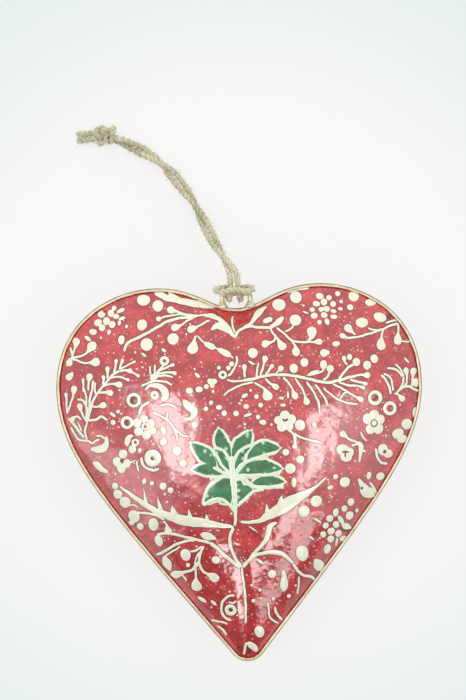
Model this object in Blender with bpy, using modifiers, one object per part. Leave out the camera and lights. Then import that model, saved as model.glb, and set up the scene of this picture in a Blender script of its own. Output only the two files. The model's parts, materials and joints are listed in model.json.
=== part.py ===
"""Enamel heart ornament: a hollow pressed heart with a gold edging, a wire eye and a loop of twine.

The heart lies on its back. X runs across it, +Y points from the tip to the notch, and +Z is up out
of its painted front. The origin is the middle of its box, on the surface that it lies on. Metres.
"""

import math

import bmesh
import bpy
from mathutils import Matrix, Vector
from mathutils.geometry import interpolate_bezier

# The outline, over the edging
HEART_WIDTH = 0.1145
HEART_HEIGHT = 0.1176
WIDEST_HEIGHT = 0.0860
LOBE_PEAK_OFFSET = 0.0255
NOTCH_DEPTH = 0.0070
TIP_RADIUS = 0.0060
TIP_SIDE_ANGLE = math.radians(39.0)

# How strongly each stretch of the outline pulls towards its ends
SIDE_PULL_LOW = 0.060
SIDE_PULL_HIGH = 0.020
SHOULDER_PULL_LOW = 0.023
SHOULDER_PULL_HIGH = 0.013
VALLEY_PULL_HIGH = 0.013
VALLEY_PULL_LOW = 0.008

# The two pressed shells
THICKNESS = 0.0350
SHEET = 0.0003
SEAM_GAP = 0.0003
FLANGE_REACH = 0.0022
CROWN_RADIUS = 0.0110
CROWN_HEIGHT_ON_HEART = 0.0660
DOME_MEAN_RADIUS = 0.0470
DOME_FULLNESS = 0.85
DOME_POWER = 1.8
OUTLINE_HOLD = 2.0
OUTLINE_SHARE = 0.5
DOME_RINGS = (0.98, 0.94, 0.87, 0.78, 0.66, 0.52, 0.36, 0.18)

# The gold edging folded over the seam
EDGING_SHEET = 0.0003
EDGING_COVER = 0.0017
EDGING_JOINT = 0.0006
NOSE_STEPS = 6

# Points on each stretch of half the outline
TIP_POINTS = 3
SIDE_POINTS = 9
SHOULDER_POINTS = 9
VALLEY_POINTS = 7

# The clearance kept between pieces that touch
CLEARANCE = 0.0003

# The wire eye and its solder
WIRE_RADIUS = 0.00075
EYE_LEG_SPACING = 0.0088
EYE_STAND = 0.0046
EYE_CORNER_RADIUS = 0.0012
SOLDER_FOOT_RADIUS = 0.0020
SOLDER_NECK_RADIUS = 0.00125
SOLDER_HEIGHT = 0.0016
SOLDER_SKIRT = 0.0010

# The twine
TWINE_RADIUS = 0.00095
HITCH_RADIUS = 0.0009
HITCH_SELF_GAP = 0.00045
BIGHT_REACH = 0.0058
HITCH_POINTS = 64
HITCH_SHIFT = -0.0005
EXIT_RISE = 0.0016
STRAND_STEP = 0.0021
STRAND_TAPER = 3
KNOT_RADIUS = 0.00074
KNOT_RING_RADIUS = 0.00182
KNOT_WIND_RADIUS = 0.00086
KNOT_POINTS = 45
TAIL_LENGTH = 0.0050
TAIL_SPREAD = 0.0010
TAIL_SPLAY = math.radians(4.0)

# The middle of the doubled twine as it lies, from its exit at the hitch to the knot. Each row gives x
# and y from the exit, the share of the exit's height that is left, the height above the surface where
# none is left, half the spacing of the two strands, and how far the pair has turned, in degrees.
TWINE_ROUTE = (
    (0.0000, 0.0000, 1.00, 0.0000, 0.00113, 0),
    (-0.0002, 0.0020, 0.97, 0.0000, 0.00113, 15),
    (-0.0012, 0.0042, 0.91, 0.0000, 0.00110, 45),
    (-0.0031, 0.0076, 0.73, 0.0000, 0.00110, 90),
    (-0.0055, 0.0119, 0.46, 0.0010, 0.00110, 135),
    (-0.0076, 0.0167, 0.21, 0.0020, 0.00115, 180),
    (-0.0096, 0.0211, 0.06, 0.0023, 0.00115, 225),
    (-0.0117, 0.0252, 0.01, 0.0023, 0.00120, 270),
    (-0.0144, 0.0297, 0.00, 0.0023, 0.00130, 325),
    (-0.0174, 0.0338, 0.00, 0.0015, 0.00140, 360),
    (-0.0197, 0.0366, 0.00, 0.0023, 0.00130, 400),
    (-0.0215, 0.0385, 0.00, 0.0025, 0.00115, 445),
    (-0.0251, 0.0414, 0.00, 0.0022, 0.00110, 500),
    (-0.0289, 0.0438, 0.00, 0.0015, 0.00110, 540),
    (-0.0324, 0.0456, 0.00, 0.0021, 0.00110, 580),
    (-0.0349, 0.0468, 0.00, 0.0024, 0.00110, 600),
    (-0.0372, 0.0478, 0.00, 0.0021, 0.00105, 615),
)
KNOT_FROM_EXIT = (-0.0407, 0.0489)
KNOT_TURN = math.radians(2.0)

SEAM_HEIGHT = THICKNESS / 2
ORIGIN_ON_HEART = HEART_HEIGHT / 2
NOSE_RADIUS = SEAM_GAP / 2 + SHEET + CLEARANCE + EDGING_SHEET
BAR_HEIGHT = HEART_HEIGHT - NOTCH_DEPTH - ORIGIN_ON_HEART + EYE_STAND
WRAP_RADIUS = WIRE_RADIUS + CLEARANCE + HITCH_RADIUS
WRAP_PITCH = 2 * HITCH_RADIUS + HITCH_SELF_GAP
EXIT_REACH = WRAP_RADIUS + HITCH_RADIUS
SWING_AXIS = Vector((HITCH_SHIFT, BAR_HEIGHT + EXIT_REACH + CLEARANCE + TWINE_RADIUS, SEAM_HEIGHT + EXIT_RISE))
KNOT_CENTRE = Vector((SWING_AXIS.x + KNOT_FROM_EXIT[0], SWING_AXIS.y + KNOT_FROM_EXIT[1],
                      KNOT_WIND_RADIUS + KNOT_RADIUS + CLEARANCE))

ENAMEL_RED = ("red_enamel", (0.60, 0.04, 0.06), 0.15, 0.0)
EDGING_GOLD = ("edging_gold", (0.72, 0.55, 0.28), 0.35, 1.0)
EYE_BRASS = ("eye_brass", (0.70, 0.52, 0.24), 0.30, 1.0)
SOLDER_GREY = ("solder", (0.55, 0.52, 0.45), 0.40, 1.0)
TWINE_JUTE = ("jute", (0.52, 0.45, 0.28), 0.95, 0.0)


def clear_scene():
    for old in list(bpy.data.objects):
        bpy.data.objects.remove(old, do_unlink=True)


def new_collection(name):
    collection = bpy.data.collections.new(name)
    bpy.context.scene.collection.children.link(collection)
    return collection


def make_material(spec):
    name, colour, roughness, metallic = spec
    material = bpy.data.materials.get(name) or bpy.data.materials.new(name)
    material.use_nodes = True
    shader = material.node_tree.nodes["Principled BSDF"]
    shader.inputs["Base Color"].default_value = (*colour, 1.0)
    shader.inputs["Roughness"].default_value = roughness
    shader.inputs["Metallic"].default_value = metallic
    return material


def add_object(name, data, collection, spec=None):
    piece = bpy.data.objects.new(name, data)
    collection.objects.link(piece)
    if spec:
        data.materials.append(make_material(spec))
    return piece


def shade_round(mesh, angle=math.radians(35.0)):
    mesh.shade_smooth()
    mesh.set_sharp_from_angle(angle=angle)


def stretch(start, start_pull, end_pull, end, count):
    """Points of one curved stretch of the outline, without its last point."""
    return interpolate_bezier(start, start_pull, end_pull, end, count + 1)[:-1]


def right_half_outline():
    """The right half of the outline, from the middle of the tip to the middle of the notch."""
    half_width = HEART_WIDTH / 2
    points = []
    for step in range(TIP_POINTS):
        turn = math.radians(-90.0) + (math.radians(90.0) - TIP_SIDE_ANGLE) * step / TIP_POINTS
        points.append(Vector((TIP_RADIUS * math.cos(turn), TIP_RADIUS + TIP_RADIUS * math.sin(turn), 0.0)))
    side_way = Vector((math.sin(TIP_SIDE_ANGLE), math.cos(TIP_SIDE_ANGLE), 0.0))
    side_start = Vector((TIP_RADIUS * side_way.y, TIP_RADIUS * (1.0 - side_way.x), 0.0))
    widest = Vector((half_width, WIDEST_HEIGHT, 0.0))
    peak = Vector((LOBE_PEAK_OFFSET, HEART_HEIGHT, 0.0))
    notch = Vector((0.0, HEART_HEIGHT - NOTCH_DEPTH, 0.0))
    points += stretch(side_start, side_start + side_way * SIDE_PULL_LOW,
                      widest - Vector((0.0, SIDE_PULL_HIGH, 0.0)), widest, SIDE_POINTS)
    points += stretch(widest, widest + Vector((0.0, SHOULDER_PULL_LOW, 0.0)),
                      peak + Vector((SHOULDER_PULL_HIGH, 0.0, 0.0)), peak, SHOULDER_POINTS)
    points += stretch(peak, peak - Vector((VALLEY_PULL_HIGH, 0.0, 0.0)),
                      notch + Vector((VALLEY_PULL_LOW, 0.0, 0.0)), notch, VALLEY_POINTS)
    points.append(notch)
    return points


def heart_outline():
    """The closed outline in the heart's own place, running anticlockwise from the tip."""
    right = right_half_outline()
    left = [Vector((-point.x, point.y, 0.0)) for point in reversed(right[1:-1])]
    return [point - Vector((0.0, ORIGIN_ON_HEART, 0.0)) for point in right + left]


def inset(points, distance):
    """A closed outline moved inwards by a distance."""
    moved = []
    for index, point in enumerate(points):
        along = points[(index + 1) % len(points)] - points[index - 1]
        inward = Vector((-along.y, along.x, 0.0)).normalized()
        moved.append(point + inward * distance)
    return moved


def outline_height_at(x):
    """The height on Y of the outline's upper edge at a place on X near the notch."""
    upper = sorted((point for point in heart_outline() if point.y > 0.0 and abs(point.x) < LOBE_PEAK_OFFSET),
                   key=lambda point: point.x)
    for low, high in zip(upper, upper[1:]):
        if low.x <= x <= high.x:
            share = (x - low.x) / (high.x - low.x)
            return low.y + share * (high.y - low.y)
    return HEART_HEIGHT - ORIGIN_ON_HEART


def loft(name, rings, closed_across, cap_last=False):
    """A surface through rings of equally many points; the rings are closed loops or open rows."""
    bm = bmesh.new()
    rows = [[bm.verts.new(point) for point in ring] for ring in rings]
    count = len(rows[0])
    for lower, upper in zip(rows, rows[1:]):
        for index in range(count if closed_across else count - 1):
            after = (index + 1) % count
            bm.faces.new((lower[index], lower[after], upper[after], upper[index]))
    if cap_last:
        bm.faces.new(rows[-1])
    mesh = bpy.data.meshes.new(name)
    bm.to_mesh(mesh)
    bm.free()
    return mesh


def flange_inset():
    """How far the flange's edge lies inside the outline, to clear the fold of the edging."""
    inner_nose = NOSE_RADIUS - EDGING_SHEET
    half_stack = SEAM_GAP / 2 + SHEET
    return NOSE_RADIUS - math.sqrt(inner_nose ** 2 - half_stack ** 2) + CLEARANCE


def dome_ring(foot, share, rise):
    """One ring of the dome: share 1 is its foot on the flange, 0 is the round edge of the flat crown."""
    crown_share = CROWN_RADIUS / DOME_MEAN_RADIUS
    reach = crown_share + (1.0 - crown_share) * share
    hold = share ** OUTLINE_HOLD
    base = SEAM_GAP / 2 + SHEET
    height = base + (rise - base) * (1.0 - share ** DOME_POWER) ** DOME_FULLNESS
    centre = Vector((0.0, CROWN_HEIGHT_ON_HEART - ORIGIN_ON_HEART, 0.0))
    ring = []
    for point in foot:
        spoke = point - centre
        inner_length = DOME_MEAN_RADIUS * (spoke.length / DOME_MEAN_RADIUS) ** (OUTLINE_SHARE * share)
        length = reach * ((1.0 - hold) * inner_length + hold * spoke.length)
        ring.append(centre + spoke.normalized() * length + Vector((0.0, 0.0, height)))
    return ring


def make_shells(collection):
    """The front and back shells: one pressing, used twice, the back one turned over."""
    outline = heart_outline()
    flange_height = Vector((0.0, 0.0, SEAM_GAP / 2 + SHEET))
    foot = inset(outline, FLANGE_REACH)
    rings = [[point + flange_height for point in inset(outline, flange_inset())]]
    rings.append([point + flange_height for point in foot])
    rings += [dome_ring(foot, share, THICKNESS / 2) for share in (*DOME_RINGS, 0.0)]
    mesh = loft("heart_pressing", rings, closed_across=True, cap_last=True)
    for name, turn in (("front_shell", 0.0), ("back_shell", math.pi)):
        shell = add_object(name, mesh.copy(), collection, ENAMEL_RED)
        shell.location = (0.0, 0.0, SEAM_HEIGHT)
        shell.rotation_euler = (0.0, turn, 0.0)
        wall = shell.modifiers.new("wall", "SOLIDIFY")
        wall.thickness = SHEET
        wall.offset = -1.0
        wall.use_even_offset = True
        shade_round(shell.data)


def edging_section():
    """The edging's section as (distance inside the outline, height), from its back lip to its front."""
    section = [(EDGING_COVER, -NOSE_RADIUS)]
    for step in range(NOSE_STEPS + 1):
        turn = math.pi * step / NOSE_STEPS - math.radians(90.0)
        section.append((NOSE_RADIUS - NOSE_RADIUS * math.cos(turn), NOSE_RADIUS * math.sin(turn)))
    section.append((EDGING_COVER, NOSE_RADIUS))
    return section


def make_edging(collection):
    """One strip of sheet folded over the seam all the way round, its two ends meeting at the notch."""
    outline = heart_outline()
    notch = (len(outline)) // 2
    half_joint = Vector((EDGING_JOINT / 2, 0.0, 0.0))
    rows = []
    for distance, height in edging_section():
        ring = inset(outline, distance)
        open_ring = [ring[notch] - half_joint, *ring[notch + 1:], *ring[:notch], ring[notch] + half_joint]
        rows.append([point + Vector((0.0, 0.0, height)) for point in open_ring])
    strip = add_object("rim_strip", loft("rim_strip", rows, closed_across=False), collection, EDGING_GOLD)
    strip.location = (0.0, 0.0, SEAM_HEIGHT)
    fold = strip.modifiers.new("fold", "SOLIDIFY")
    fold.thickness = EDGING_SHEET
    fold.offset = -1.0
    fold.use_even_offset = True
    shade_round(strip.data)


def tube(name, points, radius, collection, spec, resolution=2, radii=None):
    """A round tube along points, as a curve with filled ends."""
    curve = bpy.data.curves.new(name, "CURVE")
    curve.dimensions = "3D"
    curve.bevel_depth = radius
    curve.bevel_resolution = resolution
    curve.use_fill_caps = True
    spline = curve.splines.new("POLY")
    spline.points.add(len(points) - 1)
    for index, point in enumerate(points):
        spline.points[index].co = (*point, 1.0)
        spline.points[index].radius = radii[index] if radii else 1.0
    return add_object(name, curve, collection, spec)


def arc(centre, radius, start, end, steps):
    """Points of an arc in the XY plane about a centre."""
    points = []
    for step in range(steps + 1):
        turn = start + (end - start) * step / steps
        points.append(Vector((centre.x + radius * math.cos(turn), centre.y + radius * math.sin(turn), 0.0)))
    return points


def make_eye(collection):
    """The brass eye: wire bent to an upside-down U, standing on the edging at the notch."""
    half = EYE_LEG_SPACING / 2
    foot = outline_height_at(half + WIRE_RADIUS) + CLEARANCE
    corner_x = half - EYE_CORNER_RADIUS
    corner_y = BAR_HEIGHT - EYE_CORNER_RADIUS
    left = arc(Vector((-corner_x, corner_y)), EYE_CORNER_RADIUS, math.pi, math.pi / 2, 4)
    right = arc(Vector((corner_x, corner_y)), EYE_CORNER_RADIUS, math.pi / 2, 0.0, 4)
    points = [Vector((-half, foot, 0.0)), *left, *right, Vector((half, foot, 0.0))]
    eye = tube("hanging_eye", points, WIRE_RADIUS, collection, EYE_BRASS)
    eye.location = (0.0, 0.0, SEAM_HEIGHT)


def evaluated_copy(source, name, collection):
    """A plain mesh object made from a curve, with its caps welded, in the curve's place."""
    depsgraph = bpy.context.evaluated_depsgraph_get()
    mesh = bpy.data.meshes.new_from_object(source.evaluated_get(depsgraph))
    bm = bmesh.new()
    bm.from_mesh(mesh)
    bmesh.ops.remove_doubles(bm, verts=bm.verts, dist=0.00001)
    bm.to_mesh(mesh)
    bm.free()
    copy = add_object(name, mesh, collection)
    copy.matrix_world = source.matrix_world
    bpy.data.objects.remove(source, do_unlink=True)
    return copy


def make_edging_cutter(cutters):
    """The edging's rounded nose near the notch, grown by the clearance, to shape the solder."""
    outline = heart_outline()
    middle = inset(outline, NOSE_RADIUS)
    notch = len(outline) // 2
    near = middle[notch - VALLEY_POINTS:notch + VALLEY_POINTS + 1]
    source = tube("edging_nose_source", near, NOSE_RADIUS + CLEARANCE, cutters, None, resolution=4)
    source.location = (0.0, 0.0, SEAM_HEIGHT)
    bpy.context.view_layer.update()
    cutter = evaluated_copy(source, "edging_nose_cutter", cutters)
    cutter.hide_render = True
    cutter.display_type = "WIRE"
    return cutter


def make_solder(collection, cutter):
    """The two collars of solder that hold the eye's feet to the edging."""
    half = EYE_LEG_SPACING / 2
    bore = WIRE_RADIUS + CLEARANCE
    foot = outline_height_at(half)
    profile = (
        (bore, SOLDER_HEIGHT),
        (SOLDER_NECK_RADIUS, SOLDER_HEIGHT),
        ((SOLDER_NECK_RADIUS * 2 + SOLDER_FOOT_RADIUS) / 3, SOLDER_HEIGHT * 0.45),
        (SOLDER_FOOT_RADIUS, 0.0),
        (SOLDER_FOOT_RADIUS, -SOLDER_SKIRT),
        (bore, -SOLDER_SKIRT),
    )
    for name, side in (("eye_solder_left", -1.0), ("eye_solder_right", 1.0)):
        bm = bmesh.new()
        corners = [bm.verts.new((radius, 0.0, height)) for radius, height in profile]
        for start, end in zip(corners, corners[1:] + corners[:1]):
            bm.edges.new((start, end))
        mesh = bpy.data.meshes.new(name)
        bm.to_mesh(mesh)
        bm.free()
        collar = add_object(name, mesh, collection, SOLDER_GREY)
        collar.location = (side * half, foot, SEAM_HEIGHT)
        collar.rotation_euler = (math.radians(-90.0), 0.0, 0.0)
        turned = collar.modifiers.new("turned", "SCREW")
        turned.angle = math.tau
        turned.steps = 16
        turned.render_steps = 16
        turned.use_merge_vertices = True
        turned.merge_threshold = 0.00001
        seat = collar.modifiers.new("seat", "BOOLEAN")
        seat.operation = "DIFFERENCE"
        seat.object = cutter


def smooth_through(points, step):
    """Points a step apart along a smooth curve through the given points."""
    fine = []
    padded = [points[0] * 2 - points[1], *points, points[-1] * 2 - points[-2]]
    for before, start, end, after in zip(padded, padded[1:], padded[2:], padded[3:]):
        pull = interpolate_bezier(start, start + (end - before) / 6, end - (after - start) / 6, end, 9)
        fine += pull[:-1]
    fine.append(points[-1])
    return spaced(fine, step)


def spaced(fine, step):
    """Equally spaced points along a fine polyline, about a step apart, with both ends kept."""
    lengths = [0.0]
    for start, end in zip(fine, fine[1:]):
        lengths.append(lengths[-1] + (end - start).length)
    count = max(2, round(lengths[-1] / step))
    points = []
    index = 0
    for number in range(count + 1):
        target = lengths[-1] * number / count
        while index < len(fine) - 2 and lengths[index + 1] < target:
            index += 1
        share = (target - lengths[index]) / (lengths[index + 1] - lengths[index])
        points.append(fine[index].lerp(fine[index + 1], share))
    return points


def least_self_gap(points, radius, closed=False):
    """The least gap between turns of one tube, over points well apart along it."""
    along = [0.0]
    for start, end in zip(points, points[1:]):
        along.append(along[-1] + (end - start).length)
    gaps = []
    for i, first in enumerate(points):
        for j in range(i + 1, len(points)):
            apart = along[j] - along[i]
            if closed:
                apart = min(apart, along[-1] - apart)
            if apart > 2.5 * math.pi * radius:
                gaps.append((points[j] - first).length - 2 * radius)
    return min(gaps)


def hitch_half_route():
    """Half of the hitch: a strand goes over the crossbar, once round it, and out to the bight."""
    radius = WRAP_RADIUS
    exit_x = WRAP_PITCH / 2
    route = [Vector((exit_x, EXIT_REACH, EXIT_RISE))]
    route.append(Vector((exit_x, radius * 0.75, radius * 1.0)))
    turns = 10
    for step in range(turns + 1):
        share = step / turns
        turn = math.radians(80.0 + 270.0 * share)
        x = exit_x + WRAP_PITCH * share * (270.0 / 360.0)
        route.append(Vector((x, radius * math.cos(turn), radius * math.sin(turn))))
    return route


def hitch_route():
    """The hitch's whole route about the crossbar's middle, from one strand round to the other."""
    right = hitch_half_route()
    over = 2 * HITCH_RADIUS + HITCH_SELF_GAP
    bight_height = WRAP_RADIUS + over
    right += [
        Vector((BIGHT_REACH * 0.86, WRAP_RADIUS * 0.95, WRAP_RADIUS * 0.35)),
        Vector((BIGHT_REACH, WRAP_RADIUS * 0.60, WRAP_RADIUS * 1.0)),
        Vector((BIGHT_REACH * 0.80, WRAP_RADIUS * 0.25, WRAP_RADIUS * 1.55)),
        Vector((BIGHT_REACH * 0.45, WRAP_RADIUS * 0.35, bight_height * 0.97)),
    ]
    left = [Vector((-point.x, point.y, point.z)) for point in reversed(right)]
    middle = Vector((0.0, WRAP_RADIUS * 0.55, bight_height * 1.02))
    return right + [middle] + left


def make_hitch(collection):
    """The doubled twine's hitch on the crossbar: two full turns and the bight across the front."""
    route = hitch_route()
    length = sum((end - start).length for start, end in zip(route, route[1:]))
    points = smooth_through(route, length / HITCH_POINTS)
    print("twine_hitch least gap to itself, mm:", round(least_self_gap(points, HITCH_RADIUS) * 1000, 3))
    hitch = tube("twine_hitch", points, HITCH_RADIUS, collection, TWINE_JUTE)
    hitch.location = (HITCH_SHIFT, BAR_HEIGHT, SEAM_HEIGHT)


def strand_route(side):
    """One strand's own route: the pair's middle, moved aside by half its spacing and turned with it."""
    middles = []
    for x, y, share, height, _, _ in TWINE_ROUTE:
        middles.append(Vector((SWING_AXIS.x + x, SWING_AXIS.y + y, SWING_AXIS.z * share + height)))
    route = []
    for index, middle in enumerate(middles):
        spacing, degrees = TWINE_ROUTE[index][4:]
        along = middles[min(index + 1, len(middles) - 1)] - middles[max(index - 1, 0)]
        across = Vector((-along.y, along.x, 0.0)).normalized()
        up = along.normalized().cross(across) * -1.0
        turn = math.radians(degrees)
        route.append(middle + (across * math.cos(turn) + up * math.sin(turn)) * (side * spacing))
    return route


def make_strands(collection, pivot):
    """The two strands, from their rounded starts at the swing axis to the knot."""
    for name, side in (("twine_strand_left", 1.0), ("twine_strand_right", -1.0)):
        points = smooth_through(strand_route(side), STRAND_STEP)
        start_way = (points[0] - points[1]).normalized()
        radii = [1.0] * len(points)
        rounded = []
        for step in range(STRAND_TAPER):
            turn = math.radians(90.0) * (STRAND_TAPER - step) / (STRAND_TAPER + 0.6)
            rounded.append(points[0] + start_way * (TWINE_RADIUS * math.sin(turn)))
            radii.insert(step, math.cos(turn))
        strand = tube(name, rounded + points, TWINE_RADIUS, collection, TWINE_JUTE, radii=radii)
        hang_from(strand, pivot)


def hang_from(piece, pivot):
    """Parent a piece to the swing axis and keep it where it is."""
    piece.parent = pivot
    piece.matrix_parent_inverse = Matrix.Translation(-pivot.location)


def knot_route():
    """The knot's closed route about its own middle: a cord wound on a ring, three times round."""
    route = []
    for step in range(KNOT_POINTS):
        turn = math.tau * step / KNOT_POINTS
        reach = KNOT_RING_RADIUS + KNOT_WIND_RADIUS * math.cos(3.0 * turn)
        height = KNOT_WIND_RADIUS * math.sin(3.0 * turn)
        route.append(Vector((reach * math.cos(2.0 * turn), reach * math.sin(2.0 * turn), height)))
    return route


def make_knot(collection, pivot):
    """The knot that closes the loop, drawn tight, and the two cut ends beyond it."""
    route = knot_route()
    print("twine_knot least gap to itself, mm:", round(least_self_gap(route, KNOT_RADIUS, closed=True) * 1000, 3))
    place = Matrix.Translation(KNOT_CENTRE) @ Matrix.Rotation(KNOT_TURN, 4, "Z")
    knot = tube("twine_knot", [place @ point for point in route], KNOT_RADIUS, collection, TWINE_JUTE)
    knot.data.use_fill_caps = False
    knot.data.splines[0].use_cyclic_u = True
    hang_from(knot, pivot)
    reach = KNOT_RING_RADIUS + KNOT_WIND_RADIUS / 2 + KNOT_RADIUS + CLEARANCE
    for name, side in (("twine_tail_upper", -1.0), ("twine_tail_lower", 1.0)):
        start = Vector((-reach, side * TAIL_SPREAD, 0.0))
        splay = Matrix.Rotation(side * -TAIL_SPLAY, 3, "Z")
        droop = Vector((0.0, 0.0, KNOT_CENTRE.z - TWINE_RADIUS - CLEARANCE))
        end = start + splay @ Vector((-TAIL_LENGTH, 0.0, 0.0)) - droop
        middle = (start + end) / 2 - droop / 4
        points = smooth_through([place @ start, place @ middle, place @ end], TWINE_RADIUS)
        hang_from(tube(name, points, TWINE_RADIUS, collection, TWINE_JUTE), pivot)


def main():
    clear_scene()
    collection = new_collection("enamel_heart_ornament")
    cutters = new_collection("cutters")
    make_shells(collection)
    make_edging(collection)
    make_eye(collection)
    cutter = make_edging_cutter(cutters)
    make_solder(collection, cutter)
    make_hitch(collection)
    pivot = bpy.data.objects.new("loop_swing", None)
    pivot.location = SWING_AXIS
    collection.objects.link(pivot)
    make_strands(collection, pivot)
    make_knot(collection, pivot)


main()
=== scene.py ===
"""A pressed tin heart ornament, painted with folk plants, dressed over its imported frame.

The heart lies on its back on a pale table. X runs across it, +Y points from its tip to its notch and
+Z is up out of its painted front. Sizes are in metres, and the painter's sheets are in millimetres.
"""
import json
import logging
import math
from collections.abc import Callable, Iterator
from contextlib import contextmanager
from dataclasses import dataclass, field
from enum import Enum

import bpy
import numpy as np
from mathutils import Matrix, Vector

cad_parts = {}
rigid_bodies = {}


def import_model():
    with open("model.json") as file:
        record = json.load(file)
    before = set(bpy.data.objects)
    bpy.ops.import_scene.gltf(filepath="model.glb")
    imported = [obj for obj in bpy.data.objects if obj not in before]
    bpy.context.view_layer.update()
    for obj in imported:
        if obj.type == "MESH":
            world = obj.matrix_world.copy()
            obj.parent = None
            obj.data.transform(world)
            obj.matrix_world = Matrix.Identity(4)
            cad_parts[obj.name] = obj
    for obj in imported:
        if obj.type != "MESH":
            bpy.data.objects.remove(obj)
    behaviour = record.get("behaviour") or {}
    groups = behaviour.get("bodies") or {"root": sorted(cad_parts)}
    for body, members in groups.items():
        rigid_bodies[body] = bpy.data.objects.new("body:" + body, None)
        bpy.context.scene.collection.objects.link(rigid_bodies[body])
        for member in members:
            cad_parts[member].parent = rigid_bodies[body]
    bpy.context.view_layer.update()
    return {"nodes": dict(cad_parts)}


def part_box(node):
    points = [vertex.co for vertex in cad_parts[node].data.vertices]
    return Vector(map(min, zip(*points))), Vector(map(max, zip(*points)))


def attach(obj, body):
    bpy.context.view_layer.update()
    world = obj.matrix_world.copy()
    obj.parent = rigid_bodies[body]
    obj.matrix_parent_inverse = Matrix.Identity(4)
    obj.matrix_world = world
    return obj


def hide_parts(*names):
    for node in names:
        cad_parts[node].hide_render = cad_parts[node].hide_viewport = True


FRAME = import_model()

Array = np.ndarray
Piece = bpy.types.Object
Socket = bpy.types.NodeSocket

LOG = logging.getLogger("heart")
MM = 0.001
TURN = 2 * math.pi
HEART_BODY = "heart"
LOOP_BODY = "hanging_loop"


def deselect() -> None:
    """Leaves nothing selected, so that an operator acts only on the new piece."""
    for other in bpy.context.view_layer.objects.selected:
        other.select_set(False)


def pick(piece: Piece) -> None:
    """Makes a piece the only selected and the active one.

    Args:
        piece: The object that the next operators act on.
    """
    deselect()
    piece.select_set(True)
    bpy.context.view_layer.objects.active = piece


def added(operator: Callable, name: str, **settings: object) -> Piece:
    """Adds a primitive, with nothing else selected.

    Args:
        operator: The operator that adds it.
        name: The new piece's name.
        **settings: The operator's own settings.

    Returns:
        The new piece.
    """
    deselect()
    operator(**settings)
    piece = bpy.context.object
    piece.name = name
    return piece


@contextmanager
def editing(piece: Piece) -> Iterator[None]:
    """Opens a piece in edit mode with all of it selected, and closes it again.

    Args:
        piece: A mesh object.
    """
    pick(piece)
    bpy.ops.object.mode_set(mode="EDIT")
    bpy.ops.mesh.select_all(action="SELECT")
    yield
    bpy.ops.object.mode_set(mode="OBJECT")


def corners(piece: Piece) -> Array:
    """The piece's vertices.

    Args:
        piece: A mesh object.

    Returns:
        One row of x, y and z for each vertex.
    """
    places = np.zeros(len(piece.data.vertices) * 3)
    piece.data.vertices.foreach_get("co", places)
    return places.reshape(-1, 3)


def place(piece: Piece, places: Array) -> None:
    """Moves the piece's vertices to new rows of x, y and z."""
    piece.data.vertices.foreach_set("co", places.astype(np.float32).ravel())
    piece.data.update()


def solidify(piece: Piece, thickness: float) -> None:
    """Gives an open sheet its wall, inwards from its faces.

    Args:
        piece: A mesh object.
        thickness: The wall's.
    """
    pick(piece)
    wall = piece.modifiers.new("wall", "SOLIDIFY")
    wall.thickness = thickness
    wall.offset = -1.0
    bpy.ops.object.modifier_apply(modifier=wall.name)


def face_outwards(piece: Piece, merge: float = 1e-6) -> None:
    """Merges the piece's doubles and turns its faces outwards.

    Args:
        piece: A mesh object.
        merge: Vertices closer than this become one.
    """
    with editing(piece):
        bpy.ops.mesh.remove_doubles(threshold=merge)
        bpy.ops.mesh.normals_make_consistent(inside=False)


def smooth(piece: Piece, degrees: float) -> None:
    """Shades the piece smooth, and keeps edges sharper than an angle."""
    pick(piece)
    bpy.ops.object.shade_smooth_by_angle(angle=math.radians(degrees))


def copied(piece: Piece, name: str) -> Piece:
    """A copy of the piece with a mesh of its own.

    Args:
        piece: The object to copy.
        name: The copy's name.

    Returns:
        The copy.
    """
    pick(piece)
    bpy.ops.object.duplicate(linked=False)
    copy = bpy.context.object
    copy.name = name
    copy.data.name = name
    return copy


def turned_over(piece: Piece, seam: float) -> None:
    """Turns a piece half round about the seam's own line along Y, as the back pressing is."""
    place(piece, corners(piece) * (-1.0, 1.0, -1.0) + (0.0, 0.0, 2.0 * seam))


def dress(piece: Piece, finish: "Finish") -> None:
    """Gives a piece a finish as its only material."""
    piece.data.materials.clear()
    piece.data.materials.append(finish.material())


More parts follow.
